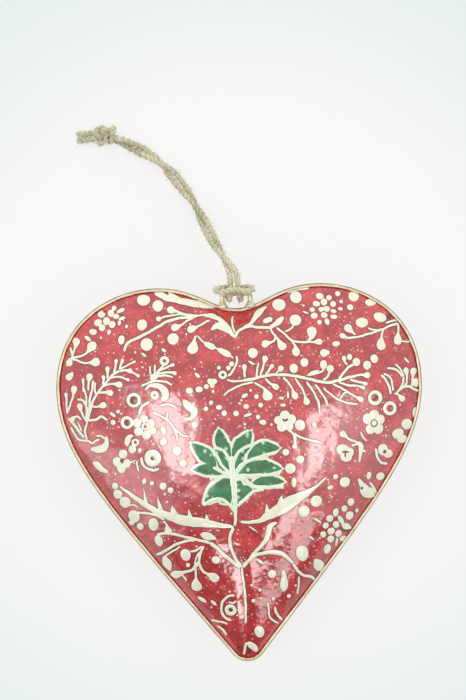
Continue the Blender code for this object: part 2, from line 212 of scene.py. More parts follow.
class Shade:
    """A material or a node group under construction, with short calls to add and join its nodes."""

    def __init__(self, tree: bpy.types.NodeTree) -> None:
        """Starts on a node tree, which new nodes go into."""
        self.tree = tree

    def add(self, kind: str, settings: dict | None = None, **sockets: object) -> bpy.types.Node:
        """Adds a node.

        Args:
            kind: The node's type, without its ShaderNode prefix.
            settings: The node's own properties.
            **sockets: For each input a value, or an output socket to join to it.

        Returns:
            The node.
        """
        node = self.tree.nodes.new("ShaderNode" + kind)
        for name, value in (settings or {}).items():
            setattr(node, name, value)
        for name, value in sockets.items():
            self.put(node, name, value)
        return node

    def put(self, node: bpy.types.Node, name: str | int, value: object) -> None:
        """Sets or joins one input.

        Args:
            node: The node.
            name: The input's name or number.
            value: A value, or an output socket.
        """
        socket = node.inputs[name]
        if isinstance(value, Socket):
            self.tree.links.new(value, socket)
        else:
            socket.default_value = value

    def fed(self, kind: str, settings: dict, *values: object, first: int = 0) -> bpy.types.Node:
        """Adds a node whose inputs are given in order.

        Args:
            kind: The node's type, without its ShaderNode prefix.
            settings: The node's own properties.
            *values: Values or output sockets for its inputs.
            first: The number of the input that the first value goes to.

        Returns:
            The node.
        """
        node = self.add(kind, settings)
        for number, value in enumerate(values, first):
            self.put(node, number, value)
        return node

    def math(self, operation: str, *values: object) -> Socket:
        """Adds a Math node with its values in order, and gives its output."""
        return self.fed("Math", {"operation": operation}, *values).outputs[0]

    def times(self, value: object, factor: object) -> Socket:
        """Multiplies two values or sockets."""
        return self.math("MULTIPLY", value, factor)

    def plus(self, value: object, more: object) -> Socket:
        """Adds two values or sockets."""
        return self.math("ADD", value, more)

    def scaled(self, value: object, factor: float, start: float) -> Socket:
        """Multiplies a socket by a factor and adds a number to it."""
        return self.math("MULTIPLY_ADD", value, factor, start)

    def mix(self, share: object, low: object, high: object) -> Socket:
        """Mixes two colours.

        Args:
            share: How much of the second, from 0 to 1.
            low: The first colour.
            high: The second colour.

        Returns:
            The colour output.
        """
        node = self.fed("Mix", {"data_type": "RGBA"}, low, high, first=6)
        self.put(node, 0, share)
        return node.outputs[2]

    def ramp(self, value: object, low: float, high: float) -> Socket:
        """Stretches a range of a value smoothly to 0 to 1."""
        smoothly = {"interpolation_type": "SMOOTHSTEP"}
        return self.fed("MapRange", smoothly, value, low, high, 0.0, 1.0).outputs[0]

    def grey(self, level: Socket) -> Socket:
        """Makes a number a grey colour."""
        return self.add("CombineColor", Red=level, Green=level, Blue=level).outputs[0]

    def place(self, kind: str = "Object") -> Socket:
        """Where a point lies: Object, UV, or Generated for the world's directions."""
        return self.add("TexCoord").outputs[kind]

    def noise(self, scale: float, detail: float) -> Socket:
        """Adds a noise on object coordinates, with its scale in waves for each metre."""
        return self.add("TexNoise", Vector=self.place(), Scale=scale, Detail=detail).outputs[0]

    def use(self, tree: bpy.types.NodeTree, **sockets: object) -> bpy.types.Node:
        """Places a node group with the values or sockets of its inputs."""
        return self.add("Group", {"node_tree": tree}, **sockets)


def group(name: str, inputs: dict[str, float | tuple], outputs: dict[str, str],
          fill: Callable[[Shade, object], dict]) -> bpy.types.NodeTree:
    """Builds a node group at its first use, and finds it again later.

    Args:
        name: The group's name.
        inputs: Each input's name and default, a number or a colour.
        outputs: Each output's name and socket type.
        fill: Fills the group's shade from its inputs, and gives a socket for each output's name.

    Returns:
        The group.
    """
    known = bpy.data.node_groups.get(name)
    if known:
        return known
    tree = bpy.data.node_groups.new(name, "ShaderNodeTree")
    for label, default in inputs.items():
        kind = "NodeSocketColor" if isinstance(default, tuple) else "NodeSocketFloat"
        tree.interface.new_socket(label, in_out="INPUT", socket_type=kind).default_value = default
    for label, kind in outputs.items():
        tree.interface.new_socket(label, in_out="OUTPUT", socket_type=kind)
    start = tree.nodes.new("NodeGroupInput")
    end = tree.nodes.new("NodeGroupOutput")
    for label, value in fill(Shade(tree), start.outputs).items():
        tree.links.new(value, end.inputs[label])
    return tree


def mottle_group() -> bpy.types.NodeTree:
    """Cloudy variation of a colour, coarse and fine, for paint, lacquer, metal and fibre.

    Returns:
        The group: Light, Dark, Scale and Strength in, Color and Height out.
    """
    finer, coarse_share, fine_share, contrast = 5.3, 0.65, 0.35, (0.38, 0.62)

    def fill(shade: Shade, given: object) -> dict:
        """Adds a coarse and a fine noise, and mixes the two tones by them.

        Args:
            shade: The group's shade.
            given: Its inputs.

        Returns:
            The colour and the height.
        """
        at = shade.place()
        coarse = shade.add("TexNoise", Vector=at, Scale=given["Scale"], Detail=2.0, Roughness=0.55).outputs[0]
        fine_scale = shade.times(given["Scale"], finer)
        fine = shade.add("TexNoise", Vector=at, Scale=fine_scale, Detail=2.0).outputs[0]
        both = shade.plus(shade.times(coarse, coarse_share), shade.times(fine, fine_share))
        share = shade.times(shade.ramp(both, *contrast), given["Strength"])
        return {"Color": shade.mix(share, given["Light"], given["Dark"]), "Height": both}

    inputs = {"Light": (1.0, 1.0, 1.0, 1.0), "Dark": (0.0, 0.0, 0.0, 1.0), "Scale": 200.0, "Strength": 1.0}
    return group("mottle", inputs, {"Color": "NodeSocketColor", "Height": "NodeSocketFloat"}, fill)


def specks_group() -> bpy.types.NodeTree:
    """Small round specks strewn over a surface.

    Returns:
        The group: Scale, Size and Share in, Mask out.
    """
    solid = 0.02

    def fill(shade: Shade, given: object) -> dict:
        """Chooses some of a Voronoi pattern's cells, and puts a round speck in the middle of each.

        Args:
            shade: The group's shade.
            given: Its inputs.

        Returns:
            The mask.
        """
        cells = shade.add("TexVoronoi", {"feature": "F1"}, Vector=shade.place(), Scale=given["Scale"],
                          Randomness=1.0)
        number = shade.add("SeparateColor", Color=cells.outputs["Color"]).outputs[0]
        chosen = shade.math("LESS_THAN", number, given["Share"])
        return {"Mask": shade.times(chosen, shade.ramp(cells.outputs["Distance"], given["Size"], solid))}

    return group("specks", {"Scale": 300.0, "Size": 0.3, "Share": 0.5}, {"Mask": "NodeSocketFloat"}, fill)


@dataclass(frozen=True)
class Specks:
    """How a finish is strewn with specks: cells for each metre, each speck's size, and the share of cells."""

    scale: float
    size: float
    share: float

    def mask(self, shade: Shade) -> Socket:
        """Strews them in a material, and gives where they lie."""
        return shade.use(specks_group(), Scale=self.scale, Size=self.size, Share=self.share).outputs[0]


@dataclass(frozen=True)
class Finish:
    """A surface finish: clouds of a light and a dark tone, a roughness that follows them, and a fine grain.

    Scales are in waves for each metre, the grain's depth is in metres, and uniform holds the inputs that
    are the same all over. Each kind lays its own layers over the clouds.
    """

    name: str
    light: tuple
    dark: tuple
    cloud_scale: float = 260.0
    cloud_strength: float = 0.9
    smoothest: float = 0.10
    unevenness: float = 0.2
    grain_scale: float = 700.0
    grain_detail: float = 2.0
    grain_depth: float = 0.00006
    uniform: tuple = ()

    def material(self) -> bpy.types.Material:
        """The finish's material, made at its first use."""
        known = bpy.data.materials.get(self.name)
        if known:
            return known
        made = bpy.data.materials.new(self.name)
        made.use_nodes = True
        shade = Shade(made.node_tree)
        shader = made.node_tree.nodes["Principled BSDF"]
        cloud = shade.use(mottle_group(), Light=self.light, Dark=self.dark, Scale=self.cloud_scale,
                          Strength=self.cloud_strength)
        colour, height = self.layers(shade, cloud.outputs["Color"])
        rough = self.smoothest
        if self.unevenness:
            rough = shade.scaled(cloud.outputs["Height"], self.unevenness, self.smoothest)
        bump = shade.add("Bump", Height=height, Distance=self.grain_depth, Strength=1.0).outputs[0]
        given = (("Base Color", colour), ("Roughness", rough), ("Normal", bump), *self.uniform)
        for name, value in given:
            shade.put(shader, name, value)
        return made

    def layers(self, shade: Shade, cloud: Socket) -> tuple:
        """The colour and the height that the finish shows: here the clouds, and a fine noise."""
        return cloud, shade.noise(self.grain_scale, self.grain_detail)


@dataclass(frozen=True)
class Enamel(Finish):
    """Glossy red lacquer over pressed tin: cloudy, flecked with pink and dusted with dark pits."""

    name: str = "cloudy_red_lacquer"
    light: tuple = (0.69, 0.038, 0.042, 1.0)
    dark: tuple = (0.44, 0.010, 0.015, 1.0)
    cloud_scale: float = 230.0
    cloud_strength: float = 1.3
    smoothest: float = 0.05
    unevenness: float = 0.16
    grain_scale: float = 330.0
    grain_detail: float = 1.5
    grain_depth: float = 0.00016
    uniform: tuple = (("IOR", 2.0),)
    fleck: tuple = (0.88, 0.44, 0.41, 1.0)
    flecks: Specks = Specks(760.0, 0.42, 0.20)
    fleck_cover: float = 0.55
    fleck_rise: float = 0.30
    pit: tuple = (0.30, 0.008, 0.012, 1.0)
    pits: Specks = Specks(610.0, 0.46, 0.22)
    pit_cover: float = 0.7

    def layers(self, shade: Shade, cloud: Socket) -> tuple:
        """Dark pits, then pink flecks that stand up a little.

        Args:
            shade: The material's shade.
            cloud: The clouds' colour.

        Returns:
            A colour and a height.
        """
        flecks = self.flecks.mask(shade)
        colour = shade.mix(shade.times(self.pits.mask(shade), self.pit_cover), cloud, self.pit)
        colour = shade.mix(shade.times(flecks, self.fleck_cover), colour, self.fleck)
        peel = shade.noise(self.grain_scale, self.grain_detail)
        return colour, shade.plus(peel, shade.times(flecks, self.fleck_rise))


@dataclass(frozen=True)
class Paint(Finish):
    """Hand-laid paint, a little streaked and uneven, as glossy as the lacquer that it lies on."""

    light: tuple = (0.97, 0.955, 0.78, 1.0)
    dark: tuple = (0.92, 0.90, 0.68, 1.0)
    uniform: tuple = (("IOR", 1.75),)
    dots: Specks | None = None
    dotting: tuple = (0.78, 0.96, 0.68, 1.0)

    def layers(self, shade: Shade, cloud: Socket) -> tuple:
        """Pale dots, on the paint that has them.

        Args:
            shade: The material's shade.
            cloud: The clouds' colour.

        Returns:
            A colour and a height.
        """
        if self.dots:
            cloud = shade.mix(self.dots.mask(shade), cloud, self.dotting)
        return cloud, shade.noise(self.grain_scale, self.grain_detail)


@dataclass(frozen=True)
class GoldEdging(Finish):
    """Gold lacquered strip: pale on its lip, brown painted shade in its crease, dark round its nose from
    painted shade and reflection, and some wear.
    """

    name: str = "shaded_worn_gold_lacquer"
    light: tuple = (0.90, 0.80, 0.54, 1.0)
    dark: tuple = (0.70, 0.57, 0.32, 1.0)
    cloud_scale: float = 170.0
    cloud_strength: float = 0.8
    smoothest: float = 0.25
    unevenness: float = 0.3
    grain_scale: float = 800.0
    grain_detail: float = 3.0
    grain_depth: float = 0.00008
    uniform: tuple = (("Metallic", 0.15),)
    wander: float = 0.14
    wander_scale: float = 240.0
    # Painted shade and reflection, with some real wear: the nose's dark colour
    nose: tuple = (0.165, 0.130, 0.060, 1.0)
    nose_shade_reach: tuple = (0.22, 0.15)
    # Painted shade: the brown that darkens the crease at the lip's inner edge
    crease: tuple = (0.34, 0.17, 0.08, 1.0)
    crease_shade_reach: tuple = (0.46, 0.50)
    crease_shade_cover: float = 0.7

    def layers(self, shade: Shade, cloud: Socket) -> tuple:
        """Dark painted shade and some wear round the nose, and brown painted shade in the crease, both with a
        wandering edge.

        Args:
            shade: The material's shade.
            cloud: The clouds' colour.

        Returns:
            A colour and a height.
        """
        across = shade.add("SeparateXYZ", Vector=shade.place("UV")).outputs[1]
        stir = shade.math("SUBTRACT", shade.noise(self.wander_scale, self.grain_detail), 0.5)
        side = shade.math("ABSOLUTE", shade.math("SUBTRACT", across, 0.5))
        bent = shade.plus(side, shade.times(stir, self.wander))
        # Darkens the nose and the crease with painted shade; the nose is also a little worn
        colour = shade.mix(shade.ramp(bent, *self.nose_shade_reach), cloud, self.nose)
        crease = shade.times(shade.ramp(bent, *self.crease_shade_reach), self.crease_shade_cover)
        return shade.mix(crease, colour, self.crease), shade.noise(self.grain_scale, self.grain_detail)


@dataclass(frozen=True)
class Metal(Finish):
    """Bare drawn or cast metal, dulled in patches."""

    unevenness: float = 0.3
    grain_detail: float = 3.0


@dataclass(frozen=True)
class Jute(Finish):
    """Jute fibre: straw with olive painted shade in its lay, and fine streaks along each ply."""

    name: str = "jute_fibre"
    light: tuple = (0.86, 0.82, 0.57, 1.0)
    dark: tuple = (0.52, 0.505, 0.295, 1.0)
    cloud_scale: float = 150.0
    smoothest: float = 0.85
    unevenness: float = 0.0
    grain_scale: float = 2.2
    grain_detail: float = 4.0
    grain_depth: float = 0.00022
    uniform: tuple = (("Sheen Weight", 0.35),)
    laid: tuple = (9.0, 0.8, 1.0)
    breaking: float = 0.65
    pale: tuple = (0.95, 0.91, 0.73, 1.0)
    pale_reach: tuple = (0.48, 0.62)
    pale_cover: float = 0.75
    # Painted shade: the olive that darkens the lay between the plies
    olive_shade: tuple = (0.19, 0.195, 0.08, 1.0)
    olive_shade_reach: tuple = (0.48, 0.37)
    olive_shade_cover: float = 0.85

    def layers(self, shade: Shade, cloud: Socket) -> tuple:
        """Pale streaks, and olive streaks of painted shade, that run along the ply, on its UV map.

        Args:
            shade: The material's shade.
            cloud: The clouds' colour.

        Returns:
            A colour and a height.
        """
        at = shade.add("Mapping", Vector=shade.place("UV"), Scale=self.laid).outputs[0]
        streak = shade.add("TexNoise", Vector=at, Scale=self.grain_scale, Detail=self.grain_detail,
                           Roughness=self.breaking).outputs[0]
        pale = shade.times(shade.ramp(streak, *self.pale_reach), self.pale_cover)
        # Olive streaks: painted shade in the lay
        olive_shade = shade.times(shade.ramp(streak, *self.olive_shade_reach), self.olive_shade_cover)
        return shade.mix(olive_shade, shade.mix(pale, cloud, self.pale), self.olive_shade), streak


CREAM = Paint("paint_cream")
MINT = Paint("paint_mint", (0.88, 0.97, 0.78, 1.0), (0.76, 0.92, 0.64, 1.0))
GREEN = Paint("paint_green", (0.030, 0.245, 0.078, 1.0), (0.020, 0.110, 0.030, 1.0), 420.0,
              dots=Specks(620.0, 0.55, 0.36))
SHADOW = Paint("paint_shadow", (0.190, 0.012, 0.012, 1.0), (0.110, 0.024, 0.012, 1.0), 500.0)
ROSE = Paint("paint_rose", (0.86, 0.50, 0.47, 1.0), (0.74, 0.24, 0.25, 1.0), 420.0)
BRASS = Metal("wire_brass", (0.82, 0.76, 0.54, 1.0), (0.46, 0.41, 0.24, 1.0), 420.0, smoothest=0.30,
              grain_scale=1680.0, uniform=(("Metallic", 0.5),))
SOLDER = Metal("soft_solder", (0.82, 0.78, 0.62, 1.0), (0.52, 0.46, 0.30, 1.0), 700.0, smoothest=0.35,
               grain_scale=2800.0, uniform=(("Metallic", 0.4),))


def unit(rows: Array) -> Array:
    """Rows of coordinates, each drawn out or in to a length of 1."""
    return rows / np.linalg.norm(rows, axis=1)[:, None]


def across_of(along: Array) -> Array:
    """Directions in the plan, each a quarter turn to the left of the one given."""
    return np.stack([-along[:, 1], along[:, 0]], 1)


def headings(path: Array) -> Array:
    """The direction of a path at each of its points, with a length of 1."""
    return unit(np.gradient(path, axis=0))


def run_lengths(path: Array) -> Array:
    """How far along a path each of its points lies."""
    return np.concatenate([[0.0], np.cumsum(np.linalg.norm(np.diff(path, axis=0), axis=1))])


def spun(side: Array, lift: Array, turn: Array) -> Array:
    """Directions turned from one row of directions towards another, each by its own angle."""
    return side * np.cos(turn)[:, None] + lift * np.sin(turn)[:, None]


def bezier(t: Array, start: Array, pull: Array, push: Array,
           end: Array) -> Array:
    """Points of a cubic curve at shares t of it, from its start, its two handles and its end."""
    return (1 - t) ** 3 * start + 3 * (1 - t) ** 2 * t * pull + 3 * (1 - t) * t * t * push + t ** 3 * end


def clamped(value: Array) -> Array:
    """A value kept from 0 to 1."""
    return np.clip(value, 0.0, 1.0)


@dataclass(frozen=True)
class HeartForm:
    """The heart's outline and the die that its two pressings are made on.

    Each dent wave has its strength, its radians for each mm across and along, its start and its bend.
    """

    width: float = 0.1145
    height: float = 0.1176
    widest_height: float = 0.0860
    lobe_peak_offset: float = 0.0255
    notch_depth: float = 0.0070
    tip_radius: float = 0.0060
    tip_side_angle: float = math.radians(39.0)
    side_pulls: tuple = (0.060, 0.020)
    shoulder_pulls: tuple = (0.023, 0.013)
    valley_pulls: tuple = (0.013, 0.008)
    thickness: float = 0.0350
    sheet: float = 0.0003
    seam_gap: float = 0.0003
    flange_reach: float = 0.0011
    crown_radius: float = 0.0110
    crown_height_on_heart: float = 0.0660
    dome_mean_radius: float = 0.0470
    dome_fullness: float = 0.85
    dome_power: float = 1.8
    outline_hold: float = 2.0
    outline_share: float = 0.5
    tip_spans: int = 3
    side_spans: int = 9
    shoulder_spans: int = 9
    valley_spans: int = 7
    fineness: int = 6
    halvings: int = 30
    dent: float = 0.000030
    dent_waves: tuple = ((1.0, 0.83, 0.21, 0.6, 0.0), (1.0, 0.34, -0.71, 2.0, 0.0),
                         (1.0, 1.31, 0.0, 0.0, 0.5), (0.5, 0.5, 1.45, 1.1, 0.0))
    dent_bend: float = 0.23
    dent_fade: float = 0.004
    lip: float = 0.00096
    crease: float = 50.0

    @property
    def seam(self) -> float:
        """The seam's height above the surface."""
        return self.thickness / 2.0

    @property
    def origin_on_heart(self) -> float:
        """How far above the tip the origin lies."""
        return self.height / 2.0

    @property
    def base(self) -> float:
        """The height of a shell's flange above the seam."""
        return self.seam_gap / 2.0 + self.sheet

    @property
    def crown(self) -> Array:
        """The middle of the flat crown."""
        return np.array((0.0, self.crown_height_on_heart - self.origin_on_heart))

    def outline(self) -> Array:
        """The closed outline over the edging.

        Returns:
            Its points, anticlockwise from the tip.
        """
        turn = self.tip_side_angle
        steps = self.tip_spans * self.fineness
        angles = -math.pi / 2 + (math.pi / 2 - turn) * np.arange(steps) / steps
        tip = np.stack([self.tip_radius * np.cos(angles), self.tip_radius * (1.0 + np.sin(angles))], 1)
        way = np.array((math.sin(turn), math.cos(turn)))
        foot = np.array((self.tip_radius * way[1], self.tip_radius * (1.0 - way[0])))
        widest = np.array((self.width / 2, self.widest_height))
        peak = np.array((self.lobe_peak_offset, self.height))
        notch = np.array((0.0, self.height - self.notch_depth))
        up, out = np.array((0.0, 1.0)), np.array((1.0, 0.0))
        half = np.concatenate([
            tip,
            self.stretch(foot, way, self.side_pulls, -up, widest, self.side_spans),
            self.stretch(widest, up, self.shoulder_pulls, out, peak, self.shoulder_spans),
            self.stretch(peak, -out, self.valley_pulls, out, notch, self.valley_spans),
            notch[None]])
        whole = np.concatenate([half, half[1:-1][::-1] * (-1.0, 1.0)])
        return whole - (0.0, self.origin_on_heart)

    def stretch(self, start: Array, leaving: Array, pulls: tuple, arriving: Array,
                end: Array, spans: int) -> Array:
        """One stretch of the outline with handles along two directions, without its last point."""
        t = np.linspace(0.0, 1.0, spans * self.fineness + 1)[:-1, None]
        return bezier(t, start, start + leaving * pulls[0], end + arriving * pulls[1], end)

    @staticmethod
    def inset(points: Array, distance: float) -> Array:
        """A closed outline moved inwards."""
        along = np.roll(points, -1, 0) - np.roll(points, 1, 0)
        return points + unit(across_of(along)) * distance

    @staticmethod
    def around(points: Array, turns: Array) -> Array:
        """Points part of the way round a closed outline.

        Args:
            points: The outline.
            turns: Shares of one turn, from its first point.

        Returns:
            A point for each share.
        """
        at = np.mod(turns, 1.0) * len(points)
        low = np.floor(at).astype(int) % len(points)
        share = (at - np.floor(at))[:, None]
        return points[low] * (1.0 - share) + points[(low + 1) % len(points)] * share

    def dome(self, reach: Array, spoke: Array) -> tuple[Array, Array]:
        """The die's surface along spokes from the crown's middle.

        Args:
            reach: How far along each spoke, from 0 in the middle to 1 at the flange.
            spoke: Each spoke's whole length.

        Returns:
            The lengths along the spokes, and the heights above the seam.
        """
        crown_share = self.crown_radius / self.dome_mean_radius
        share = clamped((reach - crown_share) / (1.0 - crown_share))
        hold = share ** self.outline_hold
        mean = self.dome_mean_radius
        inner = mean * (spoke / mean) ** (self.outline_share * share)
        rise = self.thickness / 2.0 - self.base
        height = self.base + rise * (1.0 - share ** self.dome_power) ** self.dome_fullness
        return reach * ((1.0 - hold) * inner + hold * spoke), height

    def dents(self, flat: Array, height: Array) -> Array:
        """The slight waves that hand pressing leaves in the dome.

        Args:
            flat: Rows of x and y.
            height: The smooth height at each, above the seam.

        Returns:
            What to add to each height.
        """
        x, y = flat[:, 0] / MM, flat[:, 1] / MM
        wave = sum(strength * np.sin(across * x + along * y + start + bend * np.sin(self.dent_bend * y))
                   for strength, across, along, start, bend in self.dent_waves)
        return self.dent * wave * clamped((height - self.base) / self.dent_fade)

    def spoke(self, arm: Array, inset: float) -> Array:
        """How far the outline, moved inwards, lies from the crown's middle in given directions.

        Args:
            arm: Rows of x and y from the crown's middle.
            inset: How far the outline is moved.

        Returns:
            A distance for each.
        """
        spokes = self.inset(self.outline(), inset) - self.crown
        angles = np.arctan2(spokes[:, 1], spokes[:, 0])
        order = np.argsort(angles)
        return np.interp(np.arctan2(arm[:, 1], arm[:, 0]), angles[order],
                         np.linalg.norm(spokes, axis=1)[order], period=TURN)

    def within(self, flat: Array) -> Array:
        """Moves points that lie under the edging to its lip.

        Args:
            flat: Rows of x and y.

        Returns:
            The rows, none past the lip.
        """
        arm = flat - self.crown
        length = np.maximum(np.hypot(arm[:, 0], arm[:, 1]), 1e-9)
        return self.crown + arm * np.minimum(1.0, self.spoke(arm, self.lip) / length)[:, None]

    def surface(self, flat: Array) -> Array:
        """The front's height above the seam over points of the plan.

        Args:
            flat: Rows of x and y.

        Returns:
            A height for each.
        """
        arm = flat - self.crown
        length = np.hypot(arm[:, 0], arm[:, 1])
        spoke = self.spoke(arm, self.flange_reach)
        low, high = np.zeros(len(flat)), np.ones(len(flat))
        for _ in range(self.halvings):
            middle = (low + high) / 2.0
            beyond = self.dome(middle, spoke)[0] > length
            high = np.where(beyond, middle, high)
            low = np.where(beyond, low, middle)
        height = self.dome(low, spoke)[1]
        return height + self.dents(flat, height)


FORM = HeartForm()


def reach_and_turns(piece: Piece) -> tuple[Array, Array]:
    """Each corner's distance from a flat round sheet's middle, and its share of a turn from the tip."""
    flat = corners(piece)[:, :2]
    return np.hypot(flat[:, 0], flat[:, 1]), np.arctan2(flat[:, 1], flat[:, 0]) / TURN + 0.25


@dataclass
class Shells:
    """The two pressed halves: one target-ringed disc pressed over the die, and its copy turned over."""

    form: HeartForm = FORM
    flange_width: float = 0.02
    ring_steps: tuple = (0.004, 0.006, 0.008, 0.010, 0.012, 0.014, 0.016, 0.018) + (0.022,) * 38
    flange_edge: float = 0.0006
    enamel: Finish = field(default_factory=Enamel)

    def build(self) -> None:
        """Builds both halves."""
        front = self.pressed_disc("heart_front")
        back = copied(front, "heart_back")
        turned_over(back, self.form.seam)
        for piece, up, node in ((front, 1.0, "front_shell"), (back, -1.0, "back_shell")):
            self.finish(piece, up)
            dress(piece, self.enamel)
            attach(piece, HEART_BODY)
            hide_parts(node)

    def pressed_disc(self, name: str) -> Piece:
        """A disc of radius 1 is inset ring by ring, then pressed over the die.

        Args:
            name: The piece's name.

        Returns:
            The pressed sheet, without a wall yet.
        """
        outline = self.form.outline()
        disc = added(bpy.ops.mesh.primitive_circle_add, name, vertices=len(outline),
                     radius=1.0 + self.flange_width, fill_type="NGON")
        with editing(disc):
            for step in (self.flange_width, *self.ring_steps):
                bpy.ops.mesh.inset(thickness=step, use_boundary=True, use_even_offset=True)
        reach, turns = reach_and_turns(disc)
        foot = self.form.around(self.form.inset(outline, self.form.flange_reach), turns)
        edge = self.form.around(self.form.inset(outline, self.flange_edge), turns)
        arm = foot - self.form.crown
        spoke = np.linalg.norm(arm, axis=1)
        length, height = self.form.dome(np.minimum(reach, 1.0), spoke)
        pressed = self.form.crown + arm / spoke[:, None] * length[:, None]
        beyond = clamped((reach - 1.0) / self.flange_width)[:, None]
        pressed = pressed * (1.0 - beyond) + edge * beyond
        height = height + self.form.dents(pressed, height)
        place(disc, np.column_stack([pressed, self.form.seam + height]))
        return disc

    def finish(self, piece: Piece, up: float) -> None:
        """Turns the sheet's faces out, gives it its wall and shades it.

        Args:
            piece: The pressed sheet.
            up: 1 if its crown looks up, and -1 if it looks down.
        """
        with editing(piece):
            bpy.ops.mesh.normals_make_consistent(inside=False)
        crown = max(piece.data.polygons, key=lambda face: face.area)
        if crown.normal.z * up < 0.0:
            piece.data.flip_normals()
        solidify(piece, self.form.sheet)
        smooth(piece, self.form.crease)


@dataclass
class Edging:
    """The gold strip folded over the seam, a band swept round the outline.

    Each wave of its ripple has a height, a count round the outline and a start.
    """

    form: HeartForm = FORM
    cover: float = 0.00098
    strip: float = 0.0002
    nose_radius: float = 0.00082
    nose_steps: int = 16
    lip_steps: int = 4
    crest_rise: float = 0.05
    ripple: float = 0.00006
    waves: tuple = ((1.0, 37, 0.0), (0.7, 61, 1.3))
    gold: Finish = field(default_factory=GoldEdging)

    def section(self) -> Array:
        """The strip's section as distance inside the outline and height, from the back lip to the front."""
        turn = np.linspace(-math.pi / 2, math.pi / 2, self.nose_steps + 1)
        nose = np.stack([self.nose_radius * (1.0 - np.cos(turn)), self.nose_radius * np.sin(turn)], 1)
        lip = np.linspace(self.cover, self.nose_radius, self.lip_steps + 1)[:-1]
        crest = 1.0 + self.crest_rise * np.sin(np.linspace(0.0, math.pi, len(lip) + 2)[1:-1])
        back = np.stack([lip, -self.nose_radius * crest], 1)
        front = np.stack([lip[::-1], self.nose_radius * crest], 1)
        return np.concatenate([back, nose, front])

    def build(self) -> None:
        """Builds the strip."""
        outline = self.form.outline()
        section = self.section()
        strip = added(bpy.ops.mesh.primitive_circle_add, "gold_edging", vertices=len(outline), radius=1.0,
                      fill_type="NOTHING")
        with editing(strip):
            for number in range(1, len(section)):
                wider = (number + 1) / number
                bpy.ops.mesh.extrude_edges_move()
                bpy.ops.transform.resize(value=(wider, wider, 1.0), center_override=(0.0, 0.0, 0.0))
        reach, turns = reach_and_turns(strip)
        row = np.rint(reach).astype(int) - 1
        ring = self.form.around(outline, turns)
        ahead = self.form.around(np.roll(outline, -1, 0), turns)
        inward = unit(across_of(ahead - self.form.around(np.roll(outline, 1, 0), turns)))
        lip = clamped((section[row, 0] - self.nose_radius) / (self.cover - self.nose_radius))
        wave = sum(size * np.sin(turns * TURN * count + start) for size, count, start in self.waves)
        distance = section[row, 0] + lip * self.ripple * wave
        place(strip, np.column_stack([ring + inward * distance[:, None], self.form.seam + section[row, 1]]))
        self.mark(strip, turns, row / (len(section) - 1.0))
        self.turn_out(strip)
        solidify(strip, self.strip)
        smooth(strip, self.form.crease)
        dress(strip, self.gold)
        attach(strip, HEART_BODY)
        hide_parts("rim_strip")

    @staticmethod
    def mark(strip: Piece, turns: Array, across: Array) -> None:
        """Gives the strip a UV map: once round along U, from back lip to front lip along V.

        Args:
            strip: The strip.
            turns: Each corner's share of the way round.
            across: Each corner's share of the way across.
        """
        layers = strip.data.uv_layers
        layer = layers.active or layers.new(name="UVMap")
        loops = np.zeros(len(strip.data.loops), int)
        strip.data.loops.foreach_get("vertex_index", loops)
        marks = np.column_stack([turns[loops], across[loops]])
        layer.data.foreach_set("uv", marks.astype(np.float32).ravel())

    @staticmethod
    def turn_out(strip: Piece) -> None:
        """Turns the strip's faces away from the middle of its fold.

        Args:
            strip: The strip, an open sheet.
        """
        outermost = max(strip.data.polygons, key=lambda face: face.center.x)
        if outermost.normal.x < 0.0:
            strip.data.flip_normals()


EASED_SPAN = 9
FINE_MERGE = 1e-7
# No path starts along this direction
ASKEW = (0.3, 0.2, 1.0)
CAP_TIP = 0.5
CAP_SHOULDER = 0.35
CAP_RADIUS = 0.7
# Each wave of a ripple has a height and a speed
RIPPLES = ((1.0, 1.0), (0.6, 1.7), (0.4, 2.9))
RIPPLE_HEIGHT = 1.6


def eased(points: Array, step: float, measured: int = 3) -> Array:
    """Points a step apart along a smooth curve through the given ones.

    Args:
        points: Rows of coordinates; columns past the measured ones are eased along with them.
        step: How far apart the new points are.
        measured: How many columns are a place.

    Returns:
        The new rows, with both ends kept.
    """
    padded = np.vstack([2 * points[0] - points[1], points, 2 * points[-1] - points[-2]])
    t = np.linspace(0.0, 1.0, EASED_SPAN + 1)[:-1, None]
    fine = [bezier(t, start, start + (end - before) / 6, end - (after - start) / 6, end)
            for before, start, end, after in zip(padded, padded[1:], padded[2:], padded[3:])]
    fine = np.vstack([*fine, points[-1:]])
    lengths = run_lengths(fine[:, :measured])
    at = np.linspace(0.0, lengths[-1], max(2, round(lengths[-1] / step)) + 1)
    return np.column_stack([np.interp(at, lengths, column) for column in fine.T])


def frames(path: Array) -> tuple[Array, Array]:
    """Two directions across a path that turn with it and don't twist round it.

    Args:
        path: Rows of x, y and z.

    Returns:
        The first and the second direction at each point.
    """
    along = headings(path)
    side = np.cross(along[0], ASKEW)
    sides = []
    for way in along:
        side = side - way * side.dot(way)
        side = side / np.linalg.norm(side)
        sides.append(side)
    sides = np.array(sides)
    return sides, np.cross(along, sides)


